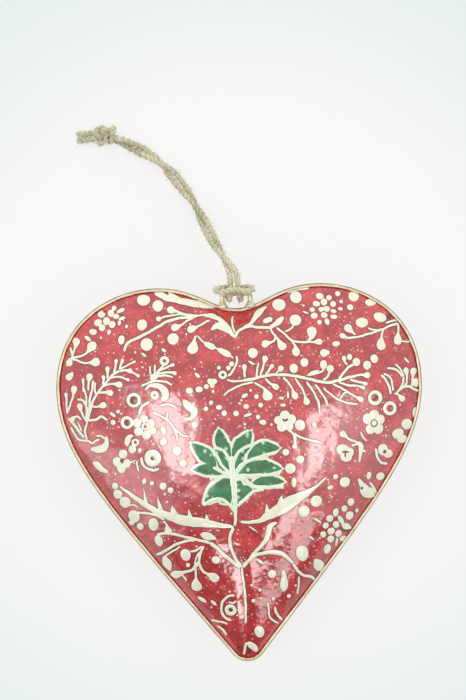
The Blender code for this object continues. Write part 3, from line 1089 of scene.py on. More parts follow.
def tube(name: str, path: Array, radii: Array, around: int) -> Piece:
    """A grid is rolled up along a path and closed at both ends; U runs round it and V along it in mm.

    Args:
        name: The piece's name.
        path: Rows of x, y and z.
        radii: The radius at each point.
        around: Its faces round the path.

    Returns:
        The tube.
    """
    ways = headings(path)
    back, on = -ways[0] * radii[0], ways[-1] * radii[-1]
    path = np.vstack([path[0] + back * CAP_TIP, path[0] + back * CAP_SHOULDER, path,
                      path[-1] + on * CAP_SHOULDER, path[-1] + on * CAP_TIP])
    radii = np.concatenate([[0.0, radii[0] * CAP_RADIUS], radii, [radii[-1] * CAP_RADIUS, 0.0]])
    piece = added(bpy.ops.mesh.primitive_grid_add, name, x_subdivisions=around,
                  y_subdivisions=len(path) - 1, size=1.0)
    flat = corners(piece) + 0.5
    rows = np.rint(flat[:, 1] * (len(path) - 1)).astype(int)
    side, lift = frames(path)
    ring = spun(side[rows], lift[rows], flat[:, 0] * TURN)
    place(piece, path[rows] + ring * radii[rows][:, None])
    layer = piece.data.uv_layers[0]
    marks = np.zeros(len(piece.data.loops) * 2)
    layer.data.foreach_get("uv", marks)
    marks = marks.reshape(-1, 2)
    marks[:, 1] *= run_lengths(path)[-1] / MM
    layer.data.foreach_set("uv", marks.astype(np.float32).ravel())
    face_outwards(piece, FINE_MERGE)
    return piece


def joined(name: str, parts: list[Piece]) -> Piece:
    """Joins objects into one.

    Args:
        name: The whole's name.
        parts: The objects.

    Returns:
        The whole.
    """
    pick(parts[0])
    for part in parts[1:]:
        part.select_set(True)
    if len(parts) > 1:
        bpy.ops.object.join()
    parts[0].name = name
    parts[0].data.name = name
    return parts[0]


def drawn(name: str, strokes: list[tuple[Array, Array]], roundness: int = 2) -> Piece:
    """One mesh of many strokes, each a path with a radius at each point.

    Args:
        name: The piece's name.
        strokes: For each stroke its rows of x, y and z, and its radii.
        roundness: The curve's bevel resolution.

    Returns:
        The mesh, with each stroke closed.
    """
    piece = added(bpy.ops.curve.primitive_nurbs_path_add, name)
    curve = piece.data
    curve.splines.clear()
    curve.twist_mode = "Z_UP"
    curve.bevel_depth = 1.0
    curve.bevel_resolution = roundness
    curve.use_fill_caps = True
    for points, radii in strokes:
        spline = curve.splines.new("POLY")
        spline.points.add(len(points) - 1)
        weighted = np.column_stack([points, np.ones(len(points))])
        spline.points.foreach_set("co", weighted.astype(np.float32).ravel())
        spline.points.foreach_set("radius", np.maximum(radii, 0.0).astype(np.float32))
    pick(piece)
    bpy.ops.object.convert(target="MESH")
    piece.data.name = name
    face_outwards(piece, FINE_MERGE)
    return piece


def ripple(count: int, rng: np.random.Generator, waves: float) -> Array:
    """A smooth random wave between about -1 and 1.

    Args:
        count: Its points.
        rng: The seeded source.
        waves: Its waves over all its points.

    Returns:
        The wave.
    """
    t = np.linspace(0.0, TURN * waves, count)
    starts = rng.uniform(0.0, TURN, len(RIPPLES))
    waves = (size * np.sin(speed * t + start) for (size, speed), start in zip(RIPPLES, starts))
    return sum(waves) / RIPPLE_HEIGHT


BAR_HEIGHT = 0.0564
WIRE_RADIUS = 0.00075


@dataclass
class Twine:
    """Two-ply jute twine: hitched on the eye's bar, doubled to its knot, and cut."""

    radius: float = 0.00095
    hitch_radius: float = 0.0009
    hitch_gap: float = 0.00045
    hitch_start: float = 80.0
    hitch_turn: float = 270.0
    bight_reach: float = 0.0058
    bar_height: float = BAR_HEIGHT
    wire_radius: float = WIRE_RADIUS
    clearance: float = 0.0003
    hitch_shift: float = -0.0005
    exit_rise: float = 0.0016
    knot_ring: float = 0.00182
    knot_wind: float = 0.00086
    knot_radius: float = 0.00074
    knot_from_exit: tuple = (-0.0407, 0.0489)
    knot_turn: float = math.radians(2.0)
    knot_laps: float = 1.01
    knot_steps: int = 240
    knot_core: tuple = ((-0.0020, -0.0007, 0.0), (-0.0008, 0.0005, 0.0001), (0.0008, -0.0005, 0.0001),
                        (0.0020, 0.0007, 0.0))
    knot_wrap: tuple = ((0.0022, -0.0022, -0.0010), (0.0025, -0.0022, 0.0004), (0.0029, -0.0013, 0.0018),
                        (0.0033, 0.0002, 0.0023), (0.0036, 0.0015, 0.0016), (0.0036, 0.0022, 0.0002),
                        (0.0032, 0.0021, -0.0010))
    knot_thickness: tuple = (1.2, 1.1, 1.15)
    tail_length: float = 0.0050
    tail_spread: float = 0.00096
    tail_splay: float = math.radians(0.5)
    lay: float = 0.0037
    lay_stray: float = 0.12
    lay_wave: float = 0.012
    ply_reach: float = 0.46
    ply_radius: float = 0.60
    ply_faces: int = 12
    ply_stray: float = 0.09
    ply_wave: float = 0.0021
    crease: float = 75.0
    fray_reach: float = 0.0022
    fray_spread: float = 0.7
    step: float = 0.00025
    tucked_start: float = 0.0007
    tucked_end: float = 0.25
    fuzz: int = 300
    fuzz_run: float = 0.062
    hair_points: int = 6
    hair_reach: tuple = (0.0006, 0.0019)
    hair_radii: tuple = (0.000050, 0.000015)
    hair_lean: tuple = (0.25, 0.9)
    hair_stray: float = 0.2
    hair_root: float = 0.75
    hair_curl: float = 0.35
    hitch_seed: int = 11
    strand_seed: int = 21
    knot_seed: int = 31
    tail_seed: int = 41
    route: tuple = (
        (0.0, 0.0, 1.0, 0.0, 0.00113, 0.0), (-0.0002, 0.0020, 0.97, 0.0, 0.00113, 15.0),
        (-0.0012, 0.0042, 0.91, 0.0, 0.00100, 45.0), (-0.0031, 0.0076, 0.73, 0.0, 0.00100, 90.0),
        (-0.0055, 0.0119, 0.46, 0.0010, 0.00100, 135.0), (-0.0076, 0.0167, 0.21, 0.0020, 0.00100, 180.0),
        (-0.0096, 0.0211, 0.06, 0.0023, 0.00100, 225.0), (-0.0117, 0.0252, 0.01, 0.0023, 0.00101, 270.0),
        (-0.0144, 0.0297, 0.0, 0.0023, 0.00104, 325.0), (-0.0174, 0.0338, 0.0, 0.0015, 0.00108, 360.0),
        (-0.0197, 0.0366, 0.0, 0.0023, 0.00104, 400.0), (-0.0215, 0.0385, 0.0, 0.0025, 0.00100, 445.0),
        (-0.0251, 0.0414, 0.0, 0.0022, 0.00100, 500.0), (-0.0289, 0.0438, 0.0, 0.0015, 0.00100, 540.0),
        (-0.0324, 0.0456, 0.0, 0.0021, 0.00100, 580.0), (-0.0349, 0.0468, 0.0, 0.0024, 0.00100, 600.0),
        (-0.0372, 0.0478, 0.0, 0.0021, 0.00100, 615.0))
    jute: Finish = field(default_factory=Jute)
    hairs: list = field(default_factory=list)

    @property
    def wrap(self) -> float:
        """The hitch's centre line's distance from the bar's."""
        return self.wire_radius + self.clearance + self.hitch_radius

    @property
    def swing(self) -> Array:
        """The point about which the doubled twine swings."""
        reach = self.wrap + self.hitch_radius + self.clearance + self.radius
        return np.array((self.hitch_shift, self.bar_height + reach, FORM.seam + self.exit_rise))

    @property
    def knot_middle(self) -> Array:
        """The knot's middle."""
        rise = self.knot_wind + self.knot_radius + self.clearance
        return np.array((*(self.swing[:2] + self.knot_from_exit), rise))

    def strand_route(self, side: float) -> Array:
        """One strand's route.

        Args:
            side: 1 for the left strand and -1 for the right.

        Returns:
            Its points, wound about the pair's middle line.
        """
        rows = np.array(self.route)
        height = self.swing[2] * rows[:, 2] + rows[:, 3]
        middles = np.column_stack([self.swing[0] + rows[:, 0], self.swing[1] + rows[:, 1], height])
        before = middles[np.maximum(np.arange(len(rows)) - 1, 0)]
        along = middles[np.minimum(np.arange(len(rows)) + 1, len(rows) - 1)] - before
        across = unit(np.column_stack([across_of(along), np.zeros(len(rows))]))
        up = -np.cross(unit(along), across)
        return middles + spun(across, up, np.radians(rows[:, 5])) * (side * rows[:, 4])[:, None]

    def hitch_route(self) -> Array:
        """The hitch's route, from one strand over and round the bar, across as the bight, and back."""
        wrap, pitch = self.wrap, 2 * self.hitch_radius + self.hitch_gap
        bight = wrap + pitch
        share = np.linspace(0.0, 1.0, 11)
        turn = np.radians(self.hitch_start + self.hitch_turn * share)
        across = pitch / 2 + pitch * share * 0.75
        winding = np.column_stack([across, wrap * np.cos(turn), wrap * np.sin(turn)])
        start = np.array([(pitch / 2, self.swing[1] - self.bar_height, self.exit_rise),
                          (pitch / 2, wrap + self.hitch_radius, self.exit_rise),
                          (pitch / 2, wrap * 0.75, wrap)])
        out = np.array([(self.bight_reach * 0.86, wrap * 0.95, wrap * 0.35),
                        (self.bight_reach, wrap * 0.60, wrap),
                        (self.bight_reach * 0.80, wrap * 0.25, wrap * 1.55),
                        (self.bight_reach * 0.45, wrap * 0.35, bight * 0.97)])
        right = np.vstack([start, winding, out])
        whole = np.vstack([right, [(0.0, wrap * 0.55, bight * 1.02)], right[::-1] * (-1.0, 1.0, 1.0)])
        return whole + (self.hitch_shift, self.bar_height, FORM.seam)

    def knot_route(self) -> Array:
        """The knot's route: a cord wound on a ring, three times round, a little past its start."""
        turn = np.linspace(0.0, TURN * self.knot_laps, self.knot_steps)
        reach = self.knot_ring + self.knot_wind * np.cos(3 * turn)
        rise = self.knot_wind * np.sin(3 * turn)
        return self.at_knot(np.column_stack([reach * np.cos(2 * turn), reach * np.sin(2 * turn), rise]))

    def at_knot(self, points: Array) -> Array:
        """Places points given about the knot's own middle."""
        turned = np.array(Matrix.Rotation(self.knot_turn, 3, "Z"))
        return points @ turned.T + self.knot_middle

    def tail_route(self, side: float) -> Array:
        """One cut end's route.

        Args:
            side: -1 for the upper end and 1 for the lower.

        Returns:
            Its points.
        """
        reach = self.knot_ring + self.knot_wind / 2 + self.knot_radius + self.clearance
        start = np.array((-reach, side * self.tail_spread, 0.0))
        splay = np.array(Matrix.Rotation(-side * self.tail_splay, 3, "Z"))
        droop = np.array((0.0, 0.0, self.knot_middle[2] - self.radius - self.clearance))
        end = start + splay @ np.array((-self.tail_length, 0.0, 0.0)) - droop
        inner = start + (self.knot_radius + self.clearance, 0.0, 0.0)
        return self.at_knot(np.array([inner, start, (start + end) / 2 - droop / 4, end]))

    def yarn(self, name: str, route: Array, radius: float, seed: int,
             fray: bool = False) -> Piece:
        """Twine along a route: two plies laid about it, each uneven, with stray fibres.

        Args:
            name: The piece's name.
            route: The points that it follows.
            radius: The twine's radius.
            seed: The seed of its unevenness.
            fray: Whether its far end opens like a cut end.

        Returns:
            The twine.
        """
        rng = np.random.default_rng(seed)
        path = eased(route, self.step)
        side, lift = frames(path)
        run = run_lengths(path)
        spread = np.ones(len(path))
        if fray:
            spread += self.fray_spread * clamped(1.0 - (run[-1] - run) / self.fray_reach) ** 1.5
        lay = run / self.lay + self.lay_stray * ripple(len(path), rng, run[-1] / self.lay_wave)
        plies = []
        for number in range(2):
            uneven = 1.0 + self.ply_stray * ripple(len(path), rng, run[-1] / self.ply_wave)
            out = spun(side, lift, TURN * (lay + number / 2.0)) * (self.ply_reach * radius * spread)[:, None]
            thick = self.ply_radius * radius * uneven
            plies.append(tube(f"{name}_ply_{number}", path + out, thick, self.ply_faces))
        self.stray(path, side, lift, radius, rng)
        piece = joined(name, plies)
        smooth(piece, self.crease)
        dress(piece, self.jute)
        return piece

    def stray(self, path: Array, side: Array, lift: Array, radius: float,
              rng: np.random.Generator) -> None:
        """Notes some stray fibres along a stretch of twine.

        Args:
            path: Its centre line.
            side: The first direction across it.
            lift: The second direction across it.
            radius: Its radius.
            rng: The seeded source.
        """
        along = headings(path)
        t = np.linspace(0.0, 1.0, self.hair_points)[:, None]
        for _ in range(int(self.fuzz * run_lengths(path)[-1] / self.fuzz_run)):
            at = int(rng.integers(2, len(path) - 2))
            turn = rng.uniform(0.0, TURN)
            out = side[at] * math.cos(turn) + lift[at] * math.sin(turn)
            way = along[at] * rng.choice((-1.0, 1.0)) + out * rng.uniform(*self.hair_lean)
            way = way + rng.normal(0.0, self.hair_stray, 3)
            reach = rng.uniform(*self.hair_reach)
            curl = out * reach * self.hair_curl * t * t * rng.uniform(-1.0, 1.0)
            hair = path[at] + out * radius * self.hair_root + way * reach * t + curl
            hair[:, 2] = np.maximum(hair[:, 2], 0.0)
            self.hairs.append((hair, np.linspace(*self.hair_radii, self.hair_points)))

    def comb(self, name: str, body: str) -> Piece:
        """Makes the stray fibres noted so far into one piece.

        Args:
            name: The piece's name.
            body: The body that it rides on.

        Returns:
            The fibres.
        """
        piece = drawn(name, self.hairs, 0)
        self.hairs = []
        dress(piece, self.jute)
        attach(piece, body)
        return piece

    def build(self) -> None:
        """Builds the twine: its hitch, its two strands, its knot and its two cut ends."""
        hitch = self.yarn("jute_hitch", self.hitch_route(), self.hitch_radius, self.hitch_seed)
        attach(hitch, HEART_BODY)
        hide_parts("twine_hitch")
        self.comb("jute_hitch_fibres", HEART_BODY)
        strands, paths = [], []
        for number, (word, side) in enumerate((("left", 1.0), ("right", -1.0))):
            route = self.strand_route(side)
            start = route[0] + (route[0] - route[1]) / np.linalg.norm(route[0] - route[1]) * self.tucked_start
            route = np.vstack([start, route, route[-1] + (route[-1] - route[-2]) * self.tucked_end])
            strand = self.yarn(f"jute_strand_{word}", route, self.radius, self.strand_seed + number)
            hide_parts(f"twine_strand_{word}")
            strands.append(strand)
            paths.append(eased(route, 0.001))
        wound = (self.at_knot(np.array(way)) for way in (self.knot_core, self.knot_wrap))
        routes = (self.knot_route(), *wound)
        turns = [self.yarn(f"jute_knot_{number}", route, self.knot_radius * thick, self.knot_seed + number)
                 for number, (route, thick) in enumerate(zip(routes, self.knot_thickness))]
        knot = joined("jute_knot", turns)
        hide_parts("twine_knot")
        pieces = [knot]
        for number, (word, side) in enumerate((("upper", -1.0), ("lower", 1.0))):
            tail = self.yarn(f"jute_tail_{word}", self.tail_route(side), self.radius,
                             self.tail_seed + number, fray=True)
            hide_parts(f"twine_tail_{word}")
            pieces.append(tail)
        for piece in strands + pieces:
            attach(piece, LOOP_BODY)
        pieces.append(self.comb("jute_fibres", LOOP_BODY))


@dataclass
class Eye:
    """The wire eye at the notch and the two blobs of solder at its feet."""

    spacing: float = 0.0088
    corner: float = 0.0012
    bar_height: float = BAR_HEIGHT
    wire: float = WIRE_RADIUS
    wire_faces: int = 20
    wire_crease: float = 60.0
    wander: float = 0.00006
    wander_waves: float = 4.0
    unevenness: float = 0.03
    uneven_waves: float = 9.0
    seed: int = 5
    solder_foot: float = 0.0018
    solder_neck: float = 0.00105
    solder_skirt: float = 0.0010
    solder_lump: float = 0.06
    solder_crease: float = 70.0
    neck_power: float = 0.42
    ball_power: float = 0.35
    flat_below: float = -0.95
    flat_share: float = 0.6
    brass: Finish = BRASS
    solder: Finish = SOLDER

    def build(self) -> None:
        """Builds the wire and its solder."""
        feet = float(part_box("hanging_eye")[0][1])
        half, bar, turn = self.spacing / 2, self.bar_height, np.linspace(0.0, math.pi / 2, 9)
        left_arc = np.column_stack([-half + self.corner - self.corner * np.cos(turn),
                                    bar - self.corner + self.corner * np.sin(turn)])
        leg = np.linspace(feet, bar - self.corner, 12)[:-1]
        left = np.vstack([np.column_stack([np.full(len(leg), -half), leg]), left_arc])
        bend = np.linspace(-half + self.corner, half - self.corner, 14)[1:-1]
        flat = np.vstack([left, np.column_stack([bend, np.full(len(bend), bar)]), left[::-1] * (-1.0, 1.0)])
        path = np.column_stack([flat, np.full(len(flat), FORM.seam)])
        rng = np.random.default_rng(self.seed)
        path[:, 2] += self.wander * ripple(len(path), rng, self.wander_waves)
        radii = self.wire * (1.0 + self.unevenness * ripple(len(path), rng, self.uneven_waves))
        wire = tube("wire_eye", path, radii, self.wire_faces)
        smooth(wire, self.wire_crease)
        dress(wire, self.brass)
        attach(wire, HEART_BODY)
        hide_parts("hanging_eye")
        for side, word in ((-1.0, "left"), (1.0, "right")):
            self.blob(side * half, f"eye_solder_{word}", f"solder_{word}", rng)

    def blob(self, across: float, node: str, name: str, rng: np.random.Generator) -> None:
        """One blob of solder: a ball drawn up the wire and down over the edging.

        Args:
            across: Its place on X.
            node: The CAD node that it stands for.
            name: The piece's name.
            rng: The seeded source.
        """
        low, high = (np.array(corner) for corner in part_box(node))
        middle = np.array((across, low[1] + self.solder_skirt, FORM.seam))
        ball = added(bpy.ops.mesh.primitive_uv_sphere_add, name, segments=32, ring_count=20, radius=1.0)
        rough = corners(ball)
        up = rough[:, 2]
        rise = np.where(up > 0.0, up * (high[1] - middle[1]), up * self.solder_skirt)
        waist = self.solder_foot - (self.solder_foot - self.solder_neck) * clamped(up) ** self.neck_power
        ring = np.hypot(rough[:, 0], rough[:, 1])
        around = np.arctan2(rough[:, 1], rough[:, 0])
        lumps = 1.0 + self.solder_lump * np.sin(3 * around + rng.uniform(0, 6)) * np.abs(up)
        reach = np.where(ring > 1e-6, waist * ring ** self.ball_power / np.maximum(ring, 1e-6), 0.0) * lumps
        reach = np.where(up < self.flat_below, reach * self.flat_share, reach)
        place(ball, middle + np.column_stack([rough[:, 0] * reach, rise, rough[:, 1] * reach]))
        face_outwards(ball)
        smooth(ball, self.solder_crease)
        dress(ball, self.solder)
        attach(ball, HEART_BODY)
        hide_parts(node)


def rounded(share: Array) -> Array:
    """The half width of a round end, from 1 at its middle to 0 at its rim."""
    return np.sqrt(clamped(1.0 - share ** 2))


def widths(ends: tuple[float, float], share: Array) -> Array:
    """Factors that go evenly from a mark's start to its end."""
    return ends[0] + (ends[1] - ends[0]) * share


class Touch(Enum):
    """How a brush lays one mark; each kind reads its row of numbers in its own way, all in mm."""

    LINE = "half width, then x and y along it"
    RIBBON = "x, y and half width along it"
    LEAF = "half width, then x and y along it, pointed at both ends"
    DROP = "half width of its round head, then x and y from its thin start to the head's far end"
    DAB = "half width, then x and y of its two ends"
    SPIKE = "half width of its foot, then x and y of its foot and its point"
    RING = "x, y, outer and inner radius"
    DOT = "x, y and radius, or x, y, half width and half height"


@dataclass(frozen=True)
class Coat:
    """One coat of the painting: its paint, how far it spreads past its marks, and how it stands up."""

    paint: Finish
    spread: float
    lift: float
    relief: float


# Painted shadow: a dark band a little wider and lower than each cream stroke, for the shade beside the raised
# paint
STROKE_SHADOW = Coat(SHADOW, 0.24, 0.012, 0.03)
BRUSHED = Coat(CREAM, 0.0, 0.026, 0.20)
GROUND = Coat(MINT, 0.88, 0.030, 0.08)
RIBS = Coat(MINT, 0.19, 0.120, 0.20)
LEAVES = Coat(GREEN, 0.0, 0.085, 0.08)
MARKS = Coat(SHADOW, 0.0, 0.145, 0.10)
SPECKS = Coat(ROSE, 0.0, 0.010, 0.45)
CREAM_SPECKS = Coat(CREAM, 0.0, 0.010, 0.45)

LINE, RIBBON, LEAF, DROP, DAB, SPIKE, RING, DOT = Touch

SHEETS = {
    "sprig_upper_left": {
        RIBBON: ((-25.5, 57.4, .5, -22, 56.5, 1.6, -18, 54.8, 1.0, -14, 53.8, 1.1, -10, 53.2, 1.15,
             -7, 52.7, .8, -6, 52.3, .3),
            (-1.2, 42.7, .5, -2.3, 44.8, .65, -3.6, 46.6, .75, -5.2, 48.2, .7, -7.5, 49.3, .6,
             -10.5, 49.9, .5)),
        DOT: ((-28.9, 55.2, 2.1, 1.7), (-24.4, 53.2, 1.8), (-29.4, 47.4, 1.6, 1.8), (-28, 41.3, 2.0, 1.9),
            (-19.8, 42.7, 1.7), (-34.2, 47.1, .5), (-6, 33.5, .6), (-2.1, 34.5, .75), (-3.1, 33.3, .7),
            (-42.2, 51.2, 1.3, 1.1), (-39.2, 51.4, 1.1), (-37.6, 50.4, 1.1, .8), (-43.3, 48.6, 1.4, 1.1),
            (-40.6, 49, 1.2), (-38.8, 47.9, 1.1), (-42, 47, 1.1), (-44.9, 45.8, 1.3, .9),
            (-39.8, 45.5, .6, .8), (-36.5, 48.3, .6, .8), (-38.2, 53.0, .8), (-35.9, 43, 1.1, 1.4),
            (-13.4, 33.3, .35), (-31.6, 39, .4)),
        DAB: ((.65, -37.4, 51.6, -34.8, 52.7), (.55, -36.7, 49.4, -34.6, 50), (.95, -10.4, 41.2, -6.9, 39.4),
            (.95, -6.4, 39.3, -2.1, 36.9), (.5, -13.4, 32.2, -11.9, 30.7), (.5, -23.4, 39.9, -22.1, 38.8),
            (.4, -29.8, 38.8, -28.2, 37.6), (1.0, -26.9, 30.3, -24.8, 32.4)),
        LINE: ((.5, -13, 49.4, -16, 49.3, -19, 48.9, -22, 48.0, -24.5, 46.6, -27.5, 45, -30, 43.8, -33, 42.5,
             -34.3, 41.6, -35.1, 39.3), (.35, -10, 49.9, -13, 49.8, -17, 50.3, -20, 50.1, -23.6, 49.4),
            (.3, -12.4, 43.6, -11.2, 42.1, -9.6, 41), (.3, -7.4, 39.7, -6.1, 39.2),
            (.3, -2.6, 37, -1.5, 36.3), (.4, -.4, 37, -.5, 35, -1.3, 33.2, -2.5, 31.5, -3.5, 30.8),
            (.35, -1.3, 49.4, -1.5, 47.2, -1.2, 45.2, -.6, 43.9), (.3, -9, 50.3, -7.2, 49.9, -5, 48.4),
            (.35, -8.9, 28.5, -8.8, 29.6, -7.9, 29.9, -6.9, 29.3),
            (.35, -26.7, 30.5, -27, 32.6, -27.2, 34.7), (.35, -25.8, 31.3, -25.6, 33.2, -25.6, 35.1),
            (.35, -25.2, 32.4, -23.8, 33.8, -22.7, 35.2), (.35, -25.2, 31.5, -22.5, 31.7, -20.1, 31)),
        LEAF: ((1.05, -8.2, 45.1, -5.6, 46.4, -1.9, 43.7),),
        DROP: ((1.15, -12.8, 49.7, -16, 50.3, -18.8, 51.3, -21.6, 52.2),
            (1.15, -12, 49.8, -14.7, 48.6, -17.2, 47, -20.3, 45.8),
            (1.2, -8.4, 48.3, -10.5, 47.2, -12.5, 46.2, -15.4, 45.1),
            (1.65, -12.5, 43.6, -13.2, 42.4, -14.1, 37.9), (.85, -24, 49.9, -24.4, 48.4),
            (.55, -25, 33, -22.5, 33.9, -19.5, 35), (.6, -25.1, 32.2, -22, 32.6, -18.8, 32.2)),
        RING: ((-4.9, 31.3, 1.3, .45), (-22.6, 36.1, 1.5, .5))},
    "sprig_rim_left": {
        LINE: ((.4, -53.4, 36.6, -52.4, 37.7, -50.5, 38.1, -48.8, 38.4, -47.4, 39.1, -46, 40.3),
            (.35, -52.5, 36.9, -53.8, 35.5), (.45, -51.6, 37.8, -51.9, 39.6, -52.3, 41.3)),
        DROP: ((1.45, -47, 39.3, -46.2, 40.2, -44.3, 42.6),
            (1.3, -52.2, 37.7, -50, 37, -48.4, 36.4, -46.5, 36.2, -42.8, 36.6),
            (1.2, -51.9, 38.1, -51.3, 39.6, -50.7, 41.4, -50.1, 44.2),
            (1.1, -51.5, 33.5, -52.1, 32.8, -53.6, 31.1)),
        DOT: ((-52.7, 36.4, 1.1),),
        DAB: ((.6, -47.6, 44.6, -45.6, 43),)},
    "fern_left": {
        LINE: ((.4, -47.6, 12.4, -48.3, 14.6, -47.6, 17.3, -46.8, 19.6, -46.1, 22, -45.1, 24.8, -43.6, 27,
             -42, 28.9, -40.4, 30.6, -38.5, 32.6, -36.5, 33.5),
            (.45, -47, 18.5, -44.6, 18.6, -42.7, 19.6, -40.9, 18.3),
            (.4, -50.4, 24.9, -48.7, 24.7, -47.4, 22.5, -47.1, 19),
            (.5, -53.6, 19.2, -51.6, 17, -50, 14.7, -48.6, 13), (.3, -50.5, 18, -49.3, 15),
            (.4, -52.9, 16.4, -51.5, 13.7, -50.3, 12.4, -47.5, 12, -45.9, 11.2),
            (.4, -45.9, 11.2, -44.7, 12.2, -43.6, 12.4), (.4, -44.6, 13.5, -43.2, 13.7, -41.9, 12.6),
            (.35, -31.9, 6, -32, 4.4, -31.6, 2.5), (.3, -34.7, 4.9, -32.4, 6.1),
            (.35, -47.7, 18, -47.5, 22, -47.5, 26.3, -48.2, 28.4),
            (.4, -46.5, 21, -46.4, 24.5, -45.6, 27.5, -45, 30.8),
            (.35, -44.5, 26.5, -44.6, 28.6, -44.2, 30.2)),
        DROP: ((.75, -40.6, 31, -40.4, 32.8, -40.4, 35), (.6, -42, 29.2, -41.8, 30.6, -41.8, 32.4),
            (.6, -38.4, 32.8, -37.9, 34.8, -37.5, 37.2), (.6, -36.7, 33.9, -36.1, 35.4, -35.5, 37.2),
            (.4, -36.5, 34, -34, 35.2, -31.5, 36.3), (.8, -36.7, 33.4, -34.8, 33.6, -32.5, 33.3),
            (.5, -33.4, 33.3, -31.9, 32.5, -30.4, 31.5), (.5, -40, 31.3, -37, 31.7, -33.5, 30.5),
            (1.0, -42.5, 28.5, -40.2, 29.5, -35.7, 29.2), (1.0, -43.8, 26.9, -42, 27, -38.7, 26.8),
            (.95, -45.6, 22.8, -44, 22.6, -41, 23.4), (.5, -48.3, 27.2, -48.3, 29.2, -48.3, 31.6),
            (1.0, -46.7, 27.6, -46.6, 29.8, -46, 33),
            (1.05, -53.9, 20.8, -52.5, 24, -51.7, 26.3, -51.1, 29.3),
            (.6, -53.9, 20.5, -54, 23.3, -54, 27.2), (.95, -47.7, 18.2, -48.8, 20.2, -50, 23.8),
            (.8, -49.3, 18.6, -50.6, 19.7, -53, 18.4)),
        DAB: ((.5, -40, 20.8, -38.3, 19.5),),
        DOT: ((-39.1, 17.7, .75), (-37.4, 21, .6), (-36.3, 7.9, 1.4), (-38.3, 5.5, 1.5), (-37, 3.5, 1.5),
            (-35.2, 5, 1.3), (-33.3, 9.4, 1.3), (-31, 9, .7)),
        RING: ((-32.3, 11.5, 1.2, .5),),
        RIBBON: ((-46.7, 9.4, .5, -44.2, 9.4, 1.1, -42.3, 9.9, 1.2, -41.5, 11.5, .75, -41.3, 13.4, .4),
            (-46.3, 5.1, .5, -45, 4.6, 1.1, -43.4, 3.1, .9, -41.4, 2.2, .5),
            (-34.9, 10.3, .5, -34.8, 12, .9, -34, 13.2, .7, -32.9, 13.6, .4))},
    "flowers_left": {
        RING: ((-32.4, 24.4, 2.25, 1.3), (-34.7, 17.6, 2.0, 1.0), (-27.1, 6.6, 2.6, .6),
            (-29.1, 16.3, 1.15, .5), (-25.9, 25.8, 1.35, .35)),
        DOT: ((-31.6, 17.4, 1.35), (-31.2, 14.8, 1.4), (-29.4, 18.6, 1.3), (-28.8, 13.7, 1.4),
            (-27, 15, 1.4), (-27.2, 17.3, 1.3), (-13.8, 16.5, 1.0), (-19.5, 8.6, 1.4), (-23.6, 11.5, 1.2),
            (-17.8, 4.8, 1.3)),
        LINE: ((.45, -30.7, 7, -30.2, 4.8, -28.9, 3.5, -27, 2.9, -25.2, 3.4),
            (.5, -31, 20.1, -29.6, 22.6, -27.4, 23.9), (.35, -30, 28.6, -26.6, 29.9, -23, 29.9, -20.3, 28.7),
            (.4, -26.5, 20.6, -22.5, 18.4, -20.2, 15.6, -19.2, 12),
            (.35, -20.2, 15.6, -17.6, 13.4, -15.6, 13), (.35, -24.5, 22.5, -21.5, 22.9, -19, 21.5),
            (.4, -22.5, 18.4, -21.9, 20.6)),
        RIBBON: ((-28.8, 27.4, .3, -27, 28.8, .5, -24.6, 28.5, .8, -22.8, 27, 1.15, -22.6, 25.2, 1.1,
             -24, 24.2, .7),
            (-17.3, 24.2, .3, -16, 22.7, 1.1, -13.9, 20.6, 1.1, -14.6, 18.6, .7, -16.9, 18.2, .5)),
        LEAF: ((.9, -24, 16.4, -23, 13.6),)},
    "sprig_upper_right": {
        LINE: ((.5, -.9, 42.3, -.4, 43.6, .8, 44.8, 3.4, 45.9, 6.5, 45.5, 9.5, 45.3, 11.4, 45.6),
            (.35, 17.4, 45.8, 16.5, 44.7, 14.6, 43.9), (.35, 8.2, 31.1, 9.2, 32.2),
            (.3, 11.3, 31.1, 12.4, 32.2), (.35, 26.2, 32, 24.6, 31, 22, 30.4),
            (.4, 28, 31.5, 27, 29.6, 25.6, 28.7), (.35, 5.3, 30, 5.5, 32, 6.2, 34.7)),
        RIBBON: ((2, 45.6, .5, 4.1, 46.6, .5, 5.4, 48.3, .7, 6.8, 50, 1.0, 8.3, 51.3, .55, 9.5, 51.8, .2),
            (9.8, 45.4, .4, 11.8, 46.2, .7, 13, 47.2, .9, 14.4, 48.6, .4),
            (16, 56.2, .4, 19, 57.2, .6, 23, 57.5, .6)),
        DAB: ((.85, 8, 47.1, 11, 48.1), (.35, 3, 35.3, 4.9, 34), (.3, 20.4, 50, 22.2, 49.2)),
        DROP: ((1.3, 9.9, 45.3, 10.9, 43.6, 12, 42, 12.8, 40.7, 14.2, 38.3),
            (1.1, 11.4, 43.2, 11.6, 42, 10.7, 40.9, 7.2, 40.1),
            (.95, 12, 45.2, 14, 43.6, 15.6, 41.9, 17.2, 40.8, 19.2, 40.5, 21.5, 40.4, 26, 40.4),
            (1.55, 21.3, 40.7, 22.5, 41.7, 23.1, 45.2), (1.2, 16.2, 41.7, 17.2, 40, 17.6, 38.7, 17.8, 36.2),
            (.9, 6.3, 29.9, 7.2, 32.6, 8.5, 36.7), (.75, 1.8, 30.1, 1.7, 34.3),
            (.65, 8.6, 31.3, 9.5, 32.6, 10.6, 34)),
        DOT: ((13.2, 52.3, 2.15, 1.9), (18.6, 54.5, 1.8), (18, 47.3, 1.9, 1.75), (4.5, 37.6, 1.5),
            (26.3, 36.9, 1.2), (20.1, 34.2, 1.25), (16.8, 32.5, 1.4), (12.8, 32.6, .9),
            (26, 33.3, 1.15, 1.4), (28, 32, 1.1), (26, 54.6, 1.2, 1.0), (28.9, 54, .9), (27.2, 52.7, 1.1),
            (24.8, 52.2, 1.2, .9), (30, 52, 1.0, .9), (23.4, 50.4, .9, .7), (26.2, 50.4, .9, .8),
